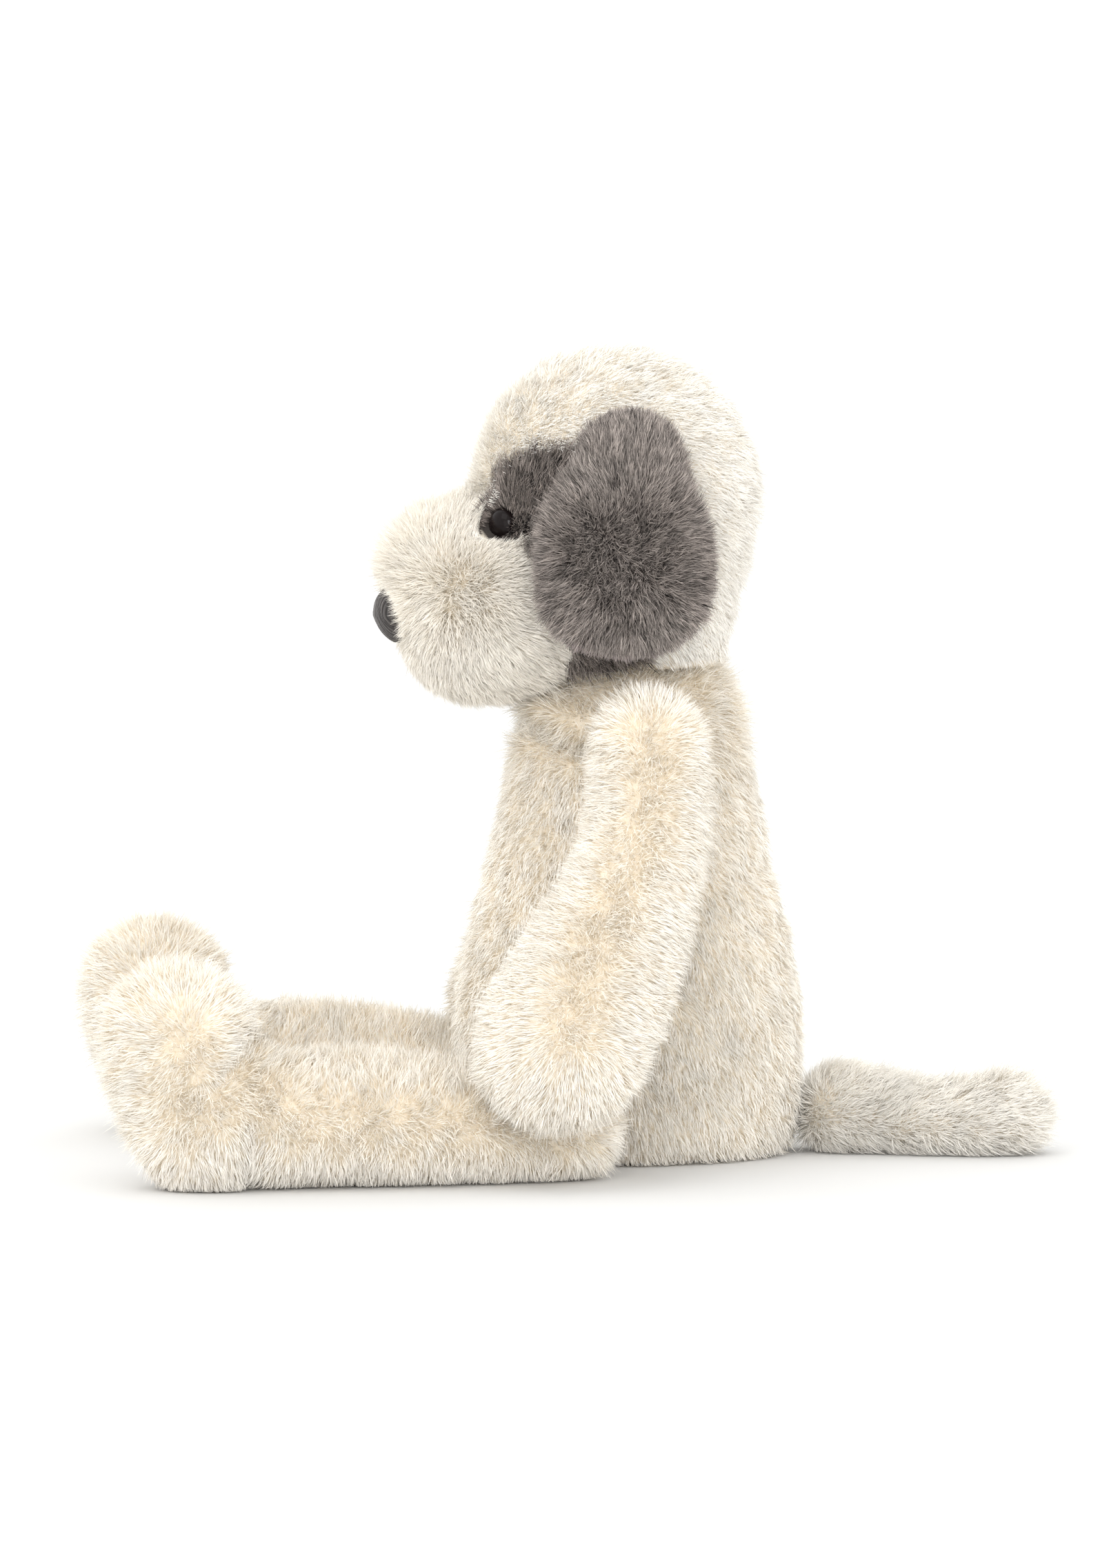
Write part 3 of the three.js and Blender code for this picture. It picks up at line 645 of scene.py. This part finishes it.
def wander(points, wavelength, seed):
    """A smooth vector field: along each axis, the sum of five sine waves of different directions."""
    rng = np.random.default_rng(seed)
    ways = unit(rng.normal(size=(3, 5, 3))) * rng.uniform(0.6, 1.5, (3, 5, 1)) * 2 * np.pi / wavelength
    starts = rng.uniform(0, 2 * np.pi, (3, 5))
    return np.sin(np.einsum("pc,akc->pak", points, ways) + starts).sum(2) / 2.2


def areas_of(points, triangles):
    """Twice the area of each triangle."""
    corners = points[triangles]
    return np.linalg.norm(np.cross(corners[:, 1] - corners[:, 0], corners[:, 2] - corners[:, 0]), axis=1)


def scattered(rng, points, normals, triangles, weight, field, count):
    """Roots spread evenly by area times weight: a triangle is drawn by its share, then a place in it.
    With each root come its normal and the value of the field there."""
    share = areas_of(points, triangles) * np.maximum(weight, 0)
    picked = np.searchsorted(np.cumsum(share), rng.random(count) * share.sum())
    picked = np.minimum(picked, len(triangles) - 1)
    u, v = rng.random((2, count, 1))
    over = (u + v) > 1
    u, v = np.where(over, 1 - u, u), np.where(over, 1 - v, v)
    mixed = lambda values: values[:, 0] * (1 - u - v) + values[:, 1] * u + values[:, 2] * v
    values = mixed(field[triangles][picked][..., None])[:, 0]
    return mixed(points[triangles][picked]), unit(mixed(normals[triangles][picked])), values


def strand_curves(roots, normals, comb, reach):
    """Middle and tip of each strand: it leaves along the normal, leans with the comb, and its tip
    leans further. The comb's length says how flat the pile lies, from 0 upright to 1 nearly flat."""
    flat = np.clip(np.linalg.norm(comb, axis=1, keepdims=True), 0, 1.4)
    lean = across(comb, normals)
    first = unit(normals * (1.15 - 0.45 * flat) + lean * 0.75)
    last = unit(normals * (0.85 - 0.62 * flat) + lean * 1.25)
    middle = roots + first * reach * 0.5
    return middle, middle + last * reach * 0.5


def grow(name, skin, body, kind, count, reach, comb, weight, seed,
         keep_out=None, trim=None, lift=None, field=None):
    """Pile on a skin: thin tapering strands with a bend, gathered into locks. Each strand has two
    corners at its root, two at its middle and one at its tip. Where the field of a region is below
    zero, nothing grows."""
    pile = settings().pile
    rng = np.random.default_rng(seed)
    points, point_normals, triangles = mesh_arrays(skin.data)
    if field is None:
        field = np.ones(len(points))
    share = weight(points[triangles].mean(1)) * (field[triangles].max(1) > 0)
    count = int(count * pile.density)
    roots, normals, value = scattered(rng, points, point_normals, triangles, share, field, count)
    inside = value + rng.normal(0, 0.0004, len(value)) > 0
    roots, normals = roots[inside], normals[inside]
    total = len(roots)
    if lift is not None:
        normals = lift(roots, normals)
    reaches = reach * rng.uniform(0.72, 1.18, (total, 1))
    if trim is not None:
        reaches *= trim(roots)
    combs = comb(roots, normals) + across(wander(roots, pile.wander_size, seed), normals) * pile.wander
    middle, tip = strand_curves(roots, normals, combs, reaches)

    # Locks: a share of the strands lead, and the others lean to the nearest one.
    area = (areas_of(points, triangles) * np.clip(share, 0, 1)).sum() / 2
    leaders = rng.choice(total, max(8, int(area / pile.lock**2)), replace=False)
    lock = nearest_of(roots, roots[leaders])
    lead = leaders[lock]
    lying = np.clip(np.linalg.norm(combs, axis=1, keepdims=True), 0, 1)
    gather = pile.gather * rng.uniform(0.45, 1.0, (total, 1)) * (0.35 + 0.65 * lying)
    reach_lock = rng.uniform(0.85, 1.25, len(leaders))[lock][:, None]
    stray = np.clip(rng.normal(size=(len(leaders), 3)), -1.5, 1.5)[lock] * pile.stray * reaches
    lead_tip = roots[lead] + (tip[lead] - roots[lead]) * reach_lock + stray
    middle = middle + (middle[lead] - middle) * gather * 0.35
    tip = tip + (lead_tip - tip) * gather
    # Upright pile is looser than pile that lies down.
    loose = np.clip(rng.normal(size=(total, 3)), -1.5, 1.5) * reaches
    splay = 1 - lying
    middle += loose * (0.05 + 0.10 * splay)
    tip += loose * (0.11 + 0.30 * splay)

    # A strand's flat side faces out as far as its lean lets it, turned by a random angle.
    direction = unit(tip - roots)
    side = unit(np.cross(direction, normals) + 1e-6)
    face = np.cross(direction, side)
    angle = rng.normal(0, 0.55, (total, 1))
    side = side * np.cos(angle) + face * np.sin(angle)
    width = pile.width * rng.uniform(0.75, 1.25, (total, 1))
    start = roots - normals * ROOT_DEPTH
    low = side * width / 2
    high = side * width * 0.46
    rows = np.stack([start - low, start + low, middle - high, middle + high, tip], axis=1)
    if keep_out is not None:
        rows = keep_out(rows.reshape(-1, 3)).reshape(rows.shape)
    rows[..., 2] = np.maximum(rows[..., 2], PILE_FLOOR)
    pattern = np.array([[0, 1, 3], [0, 3, 2], [2, 3, 4]], np.int32)
    faces = (pattern[None] + (np.arange(total, dtype=np.int32) * 5)[:, None, None]).reshape(-1, 3)
    piece = new_piece(name, rows.reshape(-1, 3), faces, body, pile_material(kind))
    values = np.empty((total, 5, 3), np.float32)
    # Place along each strand, for its colour. Upright pile reaches the tip colour later along the strand, so it
    # keeps more of the roots' painted shade.
    values[..., 0] = (0, 0, 0.5, 0.5, 1) * (1 - (0.38 if kind == "cream" else 0.15) * splay)
    values[..., 1] = rng.random((total, 1)) - 0.5
    values[..., 2] = rng.random(len(leaders))[lock][:, None] - 0.5
    write_vectors(piece, "strand", values)
    return piece


def spine_of(skin_piece, axis, steps, trim):
    """The middle line of a limb: the middle of its box in each slice along an axis, with both ends
    drawn in."""
    points, _, _ = mesh_arrays(skin_piece.data)
    along = points @ axis
    low, high = along.min(), along.max()
    levels = np.linspace(low + trim[0], high - trim[1], steps)
    half = (high - low) / steps * 0.7
    line = []
    for level in levels:
        slice_points = points[np.abs(along - level) < half]
        line.append((slice_points.min(0) + slice_points.max(0)) / 2)
    return np.array(line)


# ---------------------------------------------------------------- operators


class PUPPY_OT_skins(bpy.types.Operator):
    """Padded skins of the torso, head, ears, arms, legs and tail"""

    bl_idname = "puppy.skins"
    bl_label = "Padded Skins"

    def execute(self, context):
        skin, colours = settings().skin, settings().colours
        patch = tuple(colours.patch_root)
        # The backings are mottled between the pile's root colours, which are painted shade, and its tips, and take
        # the patch's root colour where the patch is.
        cream = backing_material("cream_backing", tuple(colours.cream_root), tuple(colours.cream), patch)
        grey = backing_material("ear_backing", tuple(colours.ear_root), tuple(colours.ear), patch)

        def middle_seam(points):
            return np.abs(points[:, 0])

        def no_seam(points):
            return np.full(len(points), 1.0)

        build_skin("torso", cream, skin.voxel, 6, 0.0012, middle_seam)
        build_skin("head", cream, skin.voxel, 5, 0.0010, middle_seam)
        build_skin("tail", cream, skin.voxel * 0.8, 5, 0.0008, no_seam)
        for label, _ in SIDES:
            for body in (f"arm_{label}", f"leg_{label}"):
                seam = lambda points: seam_beside(body, points)
                build_skin(body, cream, skin.voxel * 0.85, 5, 0.0010, seam)
            body = f"ear_{label}"
            seam = lambda points: seam_beside(body, points) + 0.004
            build_skin(body, grey, skin.thin_voxel, 4, 0.0004, seam)
        # Milky moulded plastic with a faint cloudiness, on the CAD washers themselves.
        milky = ((0.74, 0.74, 0.71), (0.82, 0.82, 0.80))
        plastic = cloudy_material("washer_plastic", 300.0, *milky, Roughness=0.45)[0]
        for label, _ in SIDES:
            washer = frame["nodes"][f"eye_washer_{label}"]
            washer.data.materials.clear()
            washer.data.materials.append(plastic)
        return {"FINISHED"}


class PUPPY_OT_torso_pile(bpy.types.Operator):
    """Pile of the torso, combed down and a little back"""

    bl_idname = "puppy.torso_pile"
    bl_label = "Torso Pile"

    def execute(self, context):
        skin = bpy.data.objects["torso_skin"]
        inside = NECK[2] + 0.026

        def comb(roots, normals):
            down = np.array([0, 0.22, -1.0])
            lie = 0.75 - 0.5 * smoothstep(NECK[2] - 0.02, NECK[2] + 0.01, roots[:, 2:])
            return across(np.broadcast_to(down, roots.shape), normals) * lie

        def collar(roots):
            """The pile is longer round the neck, where it fills the fold under the head."""
            return 1 + 0.2 * smoothstep(NECK[2] - 0.022, NECK[2] - 0.004, roots[:, 2:])

        for label, side in SIDES:

            def weight(places, side=side):
                return (places[:, 0] * side > 0) * (places[:, 2] < inside) * (places[:, 2] > 0.002)

            name = f"torso_pile_{label}"
            reach = settings().pile.torso
            grow(name, skin, "torso", "cream", 57000, reach, comb, weight, 11 + int(side), trim=collar)
        return {"FINISHED"}


class PUPPY_OT_head_pile(bpy.types.Operator):
    """Pile of the head, of the muzzle, and of the dark patch behind the left eye"""

    bl_idname = "puppy.head_pile"
    bl_label = "Head Pile"

    def execute(self, context):
        own = settings().pile
        skin = bpy.data.objects["head_skin"]
        eyes = [eye_axis(label) for label, _ in SIDES]
        skin_points = mesh_arrays(skin.data)[0]
        to_head, to_patch, to_muzzle = (
            distance_to(samples_of(names), skin_points)
            for names in (
                ("head_skin_left", "head_skin_right"),
                ("head_side_patch",),
                ("muzzle_skin_left", "muzzle_skin_right"),
            )
        )
        # Each region's field is above zero where its pile grows.
        round_eye = 0.0105 - np.linalg.norm(skin_points - eyes[0][0], axis=1)
        muzzle_field = np.minimum(to_head, to_patch) - to_muzzle
        beside_patch = np.maximum(np.minimum(to_head, to_muzzle) - to_patch, round_eye)
        patch_field = np.maximum(np.minimum(beside_patch, -muzzle_field), round_eye - 0.0007)
        muzzle_field = np.minimum(muzzle_field, -patch_field)
        head_field = -np.maximum(patch_field, muzzle_field)
        fields = {"head": head_field, "patch": patch_field, "muzzle": muzzle_field}
        dark = smoothstep(-0.0005, 0.0015, patch_field).astype(np.float32)
        skin.data.attributes.new("dark", "FLOAT", "POINT").data.foreach_set("value", dark)
        nose_low, nose_high = box_of("nose")
        nose_middle, nose_half = (nose_low + nose_high) / 2, (nose_high - nose_low) / 2
        muzzle_low, muzzle_high = box_of("muzzle_skin_left", "muzzle_skin_right")
        muzzle_middle = (muzzle_low + muzzle_high) / 2
        brow = (eyes[0][0] + eyes[1][0]) / 2 + np.array([0, -0.004, 0])

        def beyond_nose(places):
            """Distance from the nose's middle, as a share of the nose's own size that way."""
            return np.linalg.norm((places - nose_middle) / nose_half, axis=1)

        def open_places(places):
            """1 where pile may grow: clear of the eyes, of the nose and of the hollow over the neck."""
            free = np.linalg.norm(places - NECK, axis=1) > NECK_HOLLOW
            for middle, facing in eyes:
                depth, flat = about_axis(places, middle, facing)
                free &= (np.linalg.norm(flat, axis=1) > EYE_BARE) | (np.abs(depth) > EYE_REACH)
            free &= beyond_nose(places) > 1.0
            return free

        def trimmed(roots):
            """Share of the full length: short beside the nose and the eyes, full a little away."""
            share = 0.55 + 0.45 * smoothstep(1.2, 2.0, beyond_nose(roots))
            for middle, facing in eyes:
                away = np.linalg.norm(about_axis(roots, middle, facing)[1], axis=1)
                near = np.linalg.norm(roots - middle, axis=1) < EYE_REACH
                share *= np.where(near, 0.6 + 0.4 * smoothstep(0.006, 0.012, away), 1)
            return share[:, None]

        def lifted(roots, normals):
            """Normals beside an eye turn the way it faces, so that the pile stands round the bead."""
            for middle, facing in eyes:
                near = 1 - smoothstep(0.008, 0.013, np.linalg.norm(roots - middle, axis=1))[:, None]
                normals = unit(normals * (1 - 0.8 * near) + facing * 0.8 * near)
            return normals

        def clear_of_eyes(rows):
            """Moves what would cover a bead to its rim, square to the way that the eye faces."""
            for middle, facing in eyes:
                depth, flat = about_axis(rows, middle, facing)
                near = (np.linalg.norm(flat, axis=1) < EYE_RIM) & (np.abs(depth) < EYE_REACH)
                pushed = middle + unit(flat) * EYE_RIM + depth[:, None] * facing
                rows = np.where(near[:, None], pushed, rows)
            return rows

        rim_height = box_of("head_skin_left")[0][2]

        def head_comb(roots, normals):
            away = unit(roots - brow)
            rim = 1 - smoothstep(rim_height, rim_height + 0.012, roots[:, 2:])
            return across(away + np.array([0, 0, -0.45]) - rim * np.array([0, 0, 0.8]), normals) * 1.05

        def muzzle_comb(roots, normals):
            off = roots - muzzle_middle
            off[:, 1] += 0.004
            flow = np.stack([off[:, 0] * 0, off[:, 1], off[:, 2]], axis=1)
            size = np.linalg.norm(flow, axis=1, keepdims=True)
            flow = unit(flow) * smoothstep(0.002, 0.030, size) + np.array([0, 0.32, -0.24])
            fringe = 1 - smoothstep(1.15, 1.6, beyond_nose(roots))[:, None]
            forward = unit(nose_middle + np.array([0, -0.012, 0]) - roots)
            return across(flow * (1 - fringe) + forward * fringe * 1.2, normals)

        def patch_comb(roots, normals):
            flow = unit(roots - eyes[0][0]) + np.array([0, 0, 0.35])
            return across(flow, normals) * 0.6

        plans = (
            # The head's cream region takes the pale colours, which are painted light.
            ("head", "pale", 34000, own.head, head_comb),
            ("muzzle", "muzzle", 38000, own.muzzle, muzzle_comb),
            ("patch", "patch", 22000, own.head * 1.15, patch_comb),
        )
        near_nose_and_eyes = {"keep_out": clear_of_eyes, "trim": trimmed, "lift": lifted}
        for row, (region, kind, count, reach, comb) in enumerate(plans):
            for label, side in SIDES:
                if region == "patch" and label == "right":
                    continue

                def weight(places, side=side):
                    close = sum(np.linalg.norm(places - middle, axis=1) < 0.016 for middle, _ in eyes)
                    return (places[:, 0] * side > 0) * open_places(places) * (1 + 0.8 * close)

                name = "head_patch_pile" if region == "patch" else f"{region}_pile_{label}"
                seed = 21 + 2 * row + int(side)
                own_rules = {"field": fields[region], **near_nose_and_eyes}
                grow(name, skin, "head", kind, count, reach, comb, weight, seed, **own_rules)
        return {"FINISHED"}


def samples_of(names):
    """Sample points of CAD nodes: their corners and the middles of their faces and edges."""
    found = []
    for name in names:
        points, _, triangles = mesh_arrays(frame["nodes"][name].data)
        corners = points[triangles]
        edges = [corners[:, pair].mean(1) for pair in ([0, 1], [1, 2], [2, 0])]
        found += [points, corners.mean(1), *edges]
    return np.unique(np.round(np.concatenate(found), 5), axis=0)


def distance_to(samples, places):
    """Distance from each place to the nearest sample."""
    nearest = nearest_of(places, samples)
    return np.linalg.norm(places - samples[nearest], axis=1)


def eye_axis(label):
    """The middle of an eye's bead, and the way it faces: from its washer's middle to its own."""
    eye = mesh_arrays(frame["nodes"][f"eye_{label}"].data)[0]
    washer = mesh_arrays(frame["nodes"][f"eye_washer_{label}"].data)[0].mean(0)
    facing = unit(eye.mean(0) - washer)
    crown = (eye @ facing).max()
    return washer + facing * (crown - washer @ facing - EYE_EDGE - EYE_DOME), facing


class PUPPY_OT_ear_pile(bpy.types.Operator):
    """Long grey pile outside the ears and short pile on their linings"""

    bl_idname = "puppy.ear_pile"
    bl_label = "Ear Pile"

    def execute(self, context):
        own = settings().pile
        for label, side in SIDES:
            body = f"ear_{label}"
            skin = bpy.data.objects[f"{body}_skin"]
            facing, middle = panel_axis(body)
            low, high = box_of(f"ear_outer_{label}")
            source = (low + high) / 2
            source[2] -= 0.010

            def comb(roots, normals):
                _, off = about_axis(roots, source, facing)
                size = np.linalg.norm(off, axis=1, keepdims=True)
                return across(unit(off) * smoothstep(0.004, 0.034, size) * 0.9, normals)

            def rim_trim(roots):
                """Share of the full length: shorter towards the rim of the ear."""
                off = np.abs(roots - (low + high) / 2) * 2 / (high - low)
                far = np.maximum(off[:, 1], off[:, 2])
                return (1 - 0.45 * smoothstep(0.78, 1.0, far))[:, None]

            outer = lambda places: ((places - middle) @ facing > -0.001) * 1.0
            inner = lambda places: ((places - middle) @ facing <= -0.001) * 1.0
            seed = 41 + int(side)
            name = f"ear_pile_{label}"
            grow(name, skin, body, "ear", 38000, own.ear, comb, outer, seed, trim=rim_trim)
            name = f"ear_lining_pile_{label}"
            grow(name, skin, body, "lining", 14000, own.lining, comb, inner, seed + 4, trim=rim_trim)
        return {"FINISHED"}


def above_base(places):
    """1 where a limb or the tail may grow pile: all but what rests on the floor."""
    return (places[:, 2] > BARE_BASE) * 1.0


class PUPPY_OT_limb_pile(bpy.types.Operator):
    """Pile of the arms and legs, parted along the middle of each panel"""

    bl_idname = "puppy.limb_pile"
    bl_label = "Arm and Leg Pile"

    def execute(self, context):
        reach = settings().pile.limb
        for part, count, first_seed in (("arm", 52000, 51), ("leg", 62000, 55)):
            for label, side in SIDES:
                body = f"{part}_{label}"
                skin = bpy.data.objects[f"{body}_skin"]
                facing, _ = panel_axis(body)
                if part == "arm":
                    line = spine_of(skin, np.array([0, 0, 1.0]), 12, (0.026, 0.016))[::-1]
                else:
                    line = spine_of(skin, np.array([0, -1.0, 0]), 12, (0.016, 0.024))
                    low, high = box_of(f"leg_outer_panel_{label}")
                    heel, toe = line[-1].copy(), line[-1].copy()
                    heel[2] = low[2] + 0.026
                    toe[2] = high[2] - 0.026
                    line = np.concatenate([line[:-2], [heel, toe]])

                def comb(roots, normals):
                    off = roots - nearest_on_line(roots, line)
                    off -= (off @ facing)[:, None] * facing
                    size = np.linalg.norm(off, axis=1, keepdims=True)
                    flow = unit(off) * smoothstep(0.001, 0.017, size)
                    return across(flow + np.array([0, 0, -0.18]), normals) * 0.95

                name = f"{part}_pile_{label}"
                grow(name, skin, body, "cream", count, reach, comb, above_base, first_seed + int(side))
        return {"FINISHED"}


class PUPPY_OT_tail_pile(bpy.types.Operator):
    """Pile of the tail, combed to its tip"""

    bl_idname = "puppy.tail_pile"
    bl_label = "Tail Pile"

    def execute(self, context):
        skin = bpy.data.objects["tail_skin"]
        line = spine_of(skin, np.array([0, 1.0, 0]), 8, (0.010, 0.010))

        def comb(roots, normals):
            off = unit(roots - nearest_on_line(roots, line))
            return across(off * 0.3 + np.array([0.1, 0.62, 0.1]), normals)

        reach = settings().pile.tail
        # The tail takes the pale colours: painted light that makes it lighter than the torso's pile.
        grow("tail_pile", skin, "tail", "pale", 27000, reach, comb, above_base, 61)
        return {"FINISHED"}


def turned(profile, sides, middle, facing):
    """A profile of (radius, height) carried round an axis; the first and last radius are 0."""
    facing = np.asarray(facing, float)
    right = unit(np.cross([0, 0, 1.0], facing))
    up = np.cross(facing, right)
    inner = profile[1:-1]
    angle = np.linspace(0, 2 * np.pi, sides, endpoint=False)
    ring = inner[:, None, 0:1] * (np.cos(angle)[None, :, None] * right + np.sin(angle)[None, :, None] * up)
    points = (middle + ring + inner[:, None, 1:2] * facing).reshape(-1, 3)
    poles = np.array([middle + profile[0, 1] * facing, middle + profile[-1, 1] * facing])
    points = np.concatenate([points, poles])
    rows, count = len(inner), len(points)
    quads = wrapped_quads(rows, sides)
    walls = np.concatenate([quads[:, [0, 1, 2]], quads[:, [0, 2, 3]]])
    step = np.arange(sides)
    after = (step + 1) % sides
    foot = np.stack([np.full(sides, count - 2), after, step], -1)
    top = np.stack([np.full(sides, count - 1), (rows - 1) * sides + step, (rows - 1) * sides + after], -1)
    return points, np.concatenate([walls, foot, top])


def bead_profile():
    """Radius and height of an eye from its back to its crown: a straight shank, a flat back, a
    rolled edge, and a dome that is a quarter of an ellipse."""
    under = [
        [0, -EYE_SHANK],
        [0.0022, -EYE_SHANK],
        [0.0022, -0.0006],
        [EYE_RADIUS * 0.93, -0.0001],
        [EYE_RADIUS * 0.99, 0.0003],
    ]
    angle = np.linspace(0, np.pi / 2, 20)[:, None]
    crown = np.concatenate([EYE_RADIUS * np.cos(angle), EYE_EDGE + EYE_DOME * np.sin(angle)], axis=1)
    crown[-1, 0] = 0
    return np.concatenate([np.array(under), crown])


class PUPPY_OT_eyes(bpy.types.Operator):
    """Glossy domed eyes with a rolled edge"""

    bl_idname = "puppy.eyes"
    bl_label = "Eyes"

    def execute(self, context):
        dark = tuple(settings().colours.eye)
        lit = tuple(x * 2.2 for x in dark)
        gloss = {"Specular IOR Level": 0.13}
        material, tree, shader, swirl = cloudy_material("eye_plastic", 260.0, dark, lit, **gloss)
        tree.links.new(between_numbers(tree, swirl, 0.035, 0.075), shader.inputs["Roughness"])
        for label, _ in SIDES:
            points, faces = turned(bead_profile(), 48, *eye_axis(label))
            eye = new_piece(f"eye_bead_{label}", points, faces, "head", material)
            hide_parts(f"eye_{label}")
        return {"FINISHED"}


def stitched_pad(low, high, rows=80, sides=160):
    """An oval pad that fills a box, latitude by longitude. Each point is pushed out by ridges, the
    absolute cosine of how far across the pad it lies in stitches, and by a slow wobble of its own.
    Below its middle, the pad leans back. Gives its points, its ridges and its wobble."""
    middle, half = (low + high) / 2, (high - low) / 2
    v = np.linspace(-np.pi / 2, np.pi / 2, rows)[:, None]
    u = np.linspace(0, 2 * np.pi, sides, endpoint=False)[None, :]
    x = np.cos(v) * np.sin(u)
    y = -np.cos(v) * np.cos(u)
    z = np.sin(v) + 0 * u
    across_pad = x * half[0] + 0.35 * z * half[2]
    phase = (across_pad + 0.0004 * np.sin(z * 6 + x * 9)) / STITCH
    ridge = np.abs(np.cos(np.pi * phase)) ** 0.8 * (0.75 + 0.25 * np.sin(np.round(phase) * 2.4 + z * 4))
    wobble = np.sin(phase * 3.7 + z * 5) * 0.12
    lift = 1 + 0.075 * (ridge - 0.5) + 0.012 * wobble
    points = np.stack([x * lift * half[0], y * lift * half[1], z * lift * half[2]], axis=-1).reshape(-1, 3)
    points[:, 1] += 0.28 * np.maximum(-points[:, 2], 0)
    return points + middle, wrapped_quads(rows, sides), ridge, wobble


class PUPPY_OT_nose(bpy.types.Operator):
    """Nose worked in slanted satin stitches"""

    bl_idname = "puppy.nose"
    bl_label = "Nose"

    def execute(self, context):
        thread = {"Sheen Weight": 0.3, "Sheen Roughness": 0.4, "Specular IOR Level": 0.35}
        material, tree, shader = surface("nose_thread", **thread)
        base = tuple(settings().colours.nose)
        parts = parts_of(tree, "stitch")
        # Colour by the ridges of the stitches: painted shade, far darker than the thread, in the grooves between
        # them, and a painted highlight, paler than the thread, on their crests.
        tone = between_tones(tree, parts["X"], (x * 0.15 for x in base), (x * 1.6 for x in base))
        tree.links.new(tone, shader.inputs["Base Color"])
        tree.links.new(between_numbers(tree, parts["Y"], 0.5, 0.8), shader.inputs["Roughness"])
        points, faces, ridge, wobble = stitched_pad(*box_of("nose"))
        nose = new_piece("nose_stitches", points, faces, "head", material)
        # The first value of stitch is the ridge height, which the thread's painted shade and painted highlight
        # follow.
        write_vectors(nose, "stitch", np.stack([ridge, np.abs(wobble) * 8, 0 * ridge], axis=-1))
        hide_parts("nose")
        return {"FINISHED"}


class PUPPY_OT_studio(bpy.types.Operator):
    """Pale floor, soft lights, room light and the camera"""

    bl_idname = "puppy.studio"
    bl_label = "Studio"

    def execute(self, context):
        own = settings()
        studio = own.studio
        scene = context.scene
        # Floor: a level round sheet.
        pale = tuple(own.colours.floor)
        shade = tuple(x * 0.985 for x in pale)
        material = cloudy_material("studio_floor", 3.0, shade, pale, Roughness=0.9)[0]
        angle = np.linspace(-np.pi, np.pi, 96, endpoint=False)
        rings = np.array([0.001, 0.5, 1.5, 3, 6, 12])[:, None]
        grid = np.stack([rings * np.cos(angle), rings * np.sin(angle), 0 * rings * angle], axis=-1)
        faces = wrapped_quads(len(rings), len(angle))[:, [0, 3, 2, 1]]
        floor = new_piece("floor", grid.reshape(-1, 3), faces, None, material)

        world = bpy.data.worlds.new("room")
        scene.world = world
        world.use_nodes = True
        room = world.node_tree.nodes["Background"].inputs
        room["Color"].default_value = (1.0, 1.0, 0.995, 1)
        room["Strength"].default_value = studio.room

        def panel(name, size, place, aim, power, tint):
            data = bpy.data.lights.new(name, "AREA")
            data.shape, data.size, data.energy, data.color = "SQUARE", size, power, tint
            lamp = bpy.data.objects.new(name, data)
            lamp.location = place
            lamp.rotation_euler = (Vector(aim) - Vector(place)).to_track_quat("-Z", "Y").to_euler()
            scene.collection.objects.link(lamp)
            return lamp

        panel("key", 0.9, (0.7, -0.5, 1.3), (0, 0, 0.12), studio.key, (1, 0.985, 0.96))
        panel("fill", 1.0, (1.3, -0.3, 0.35), (0, 0, 0.10), studio.fill, (1, 0.98, 0.95))
        gloss = panel("window", 0.6, (1.5, 0.25, 0.75), (0, 0, 0.20), studio.window, (1, 1, 1))
        gloss.visible_diffuse = False

        camera = bpy.data.objects.new("camera", bpy.data.cameras.new("camera"))
        azimuth, elevation = np.radians(studio.azimuth), np.radians(studio.elevation)
        level = np.cos(elevation)
        back = Vector((np.sin(azimuth) * level, -np.cos(azimuth) * level, np.sin(elevation)))
        target = Vector((0, studio.target_y, studio.target_z))
        camera.location = target + back * studio.distance
        camera.rotation_euler = (-back).to_track_quat("-Z", "Y").to_euler()
        camera.data.sensor_width = 36
        camera.data.lens = studio.lens
        scene.collection.objects.link(camera)
        scene.camera = camera
        scene.view_settings.view_transform = "Standard"
        scene.view_settings.look = "None"
        return {"FINISHED"}


class PUPPY_PT_panel(bpy.types.Panel):
    """The puppy's settings and its pieces"""

    bl_idname = "PUPPY_PT_panel"
    bl_label = "Plush Puppy"
    bl_space_type = "VIEW_3D"
    bl_region_type = "UI"
    bl_category = "Plush Puppy"

    def draw(self, context):
        own = settings()
        groups = {"Pile": own.pile, "Skins": own.skin, "Colours": own.colours, "Studio": own.studio}
        for label, group in groups.items():
            box = self.layout.box()
            box.label(text=label)
            for name in group.__annotations__:
                box.prop(group, name)
        for operator in OPERATORS:
            self.layout.operator(operator.bl_idname)


GROUPS = (PUPPY_PG_pile, PUPPY_PG_skin, PUPPY_PG_colours, PUPPY_PG_studio, PUPPY_PG_settings)
OPERATORS = (
    PUPPY_OT_skins,
    PUPPY_OT_torso_pile,
    PUPPY_OT_head_pile,
    PUPPY_OT_ear_pile,
    PUPPY_OT_limb_pile,
    PUPPY_OT_tail_pile,
    PUPPY_OT_eyes,
    PUPPY_OT_nose,
    PUPPY_OT_studio,
)


def register():
    for kind in (*GROUPS, *OPERATORS, PUPPY_PT_panel):
        bpy.utils.register_class(kind)
    bpy.types.Scene.plush_puppy = PointerProperty(type=PUPPY_PG_settings)


def unregister():
    del bpy.types.Scene.plush_puppy
    for kind in reversed((*GROUPS, *OPERATORS, PUPPY_PT_panel)):
        bpy.utils.unregister_class(kind)


def main():
    register()
    for operator in OPERATORS:
        group, name = operator.bl_idname.split(".")
        getattr(getattr(bpy.ops, group), name)()


if __name__ == "__main__":
    main()
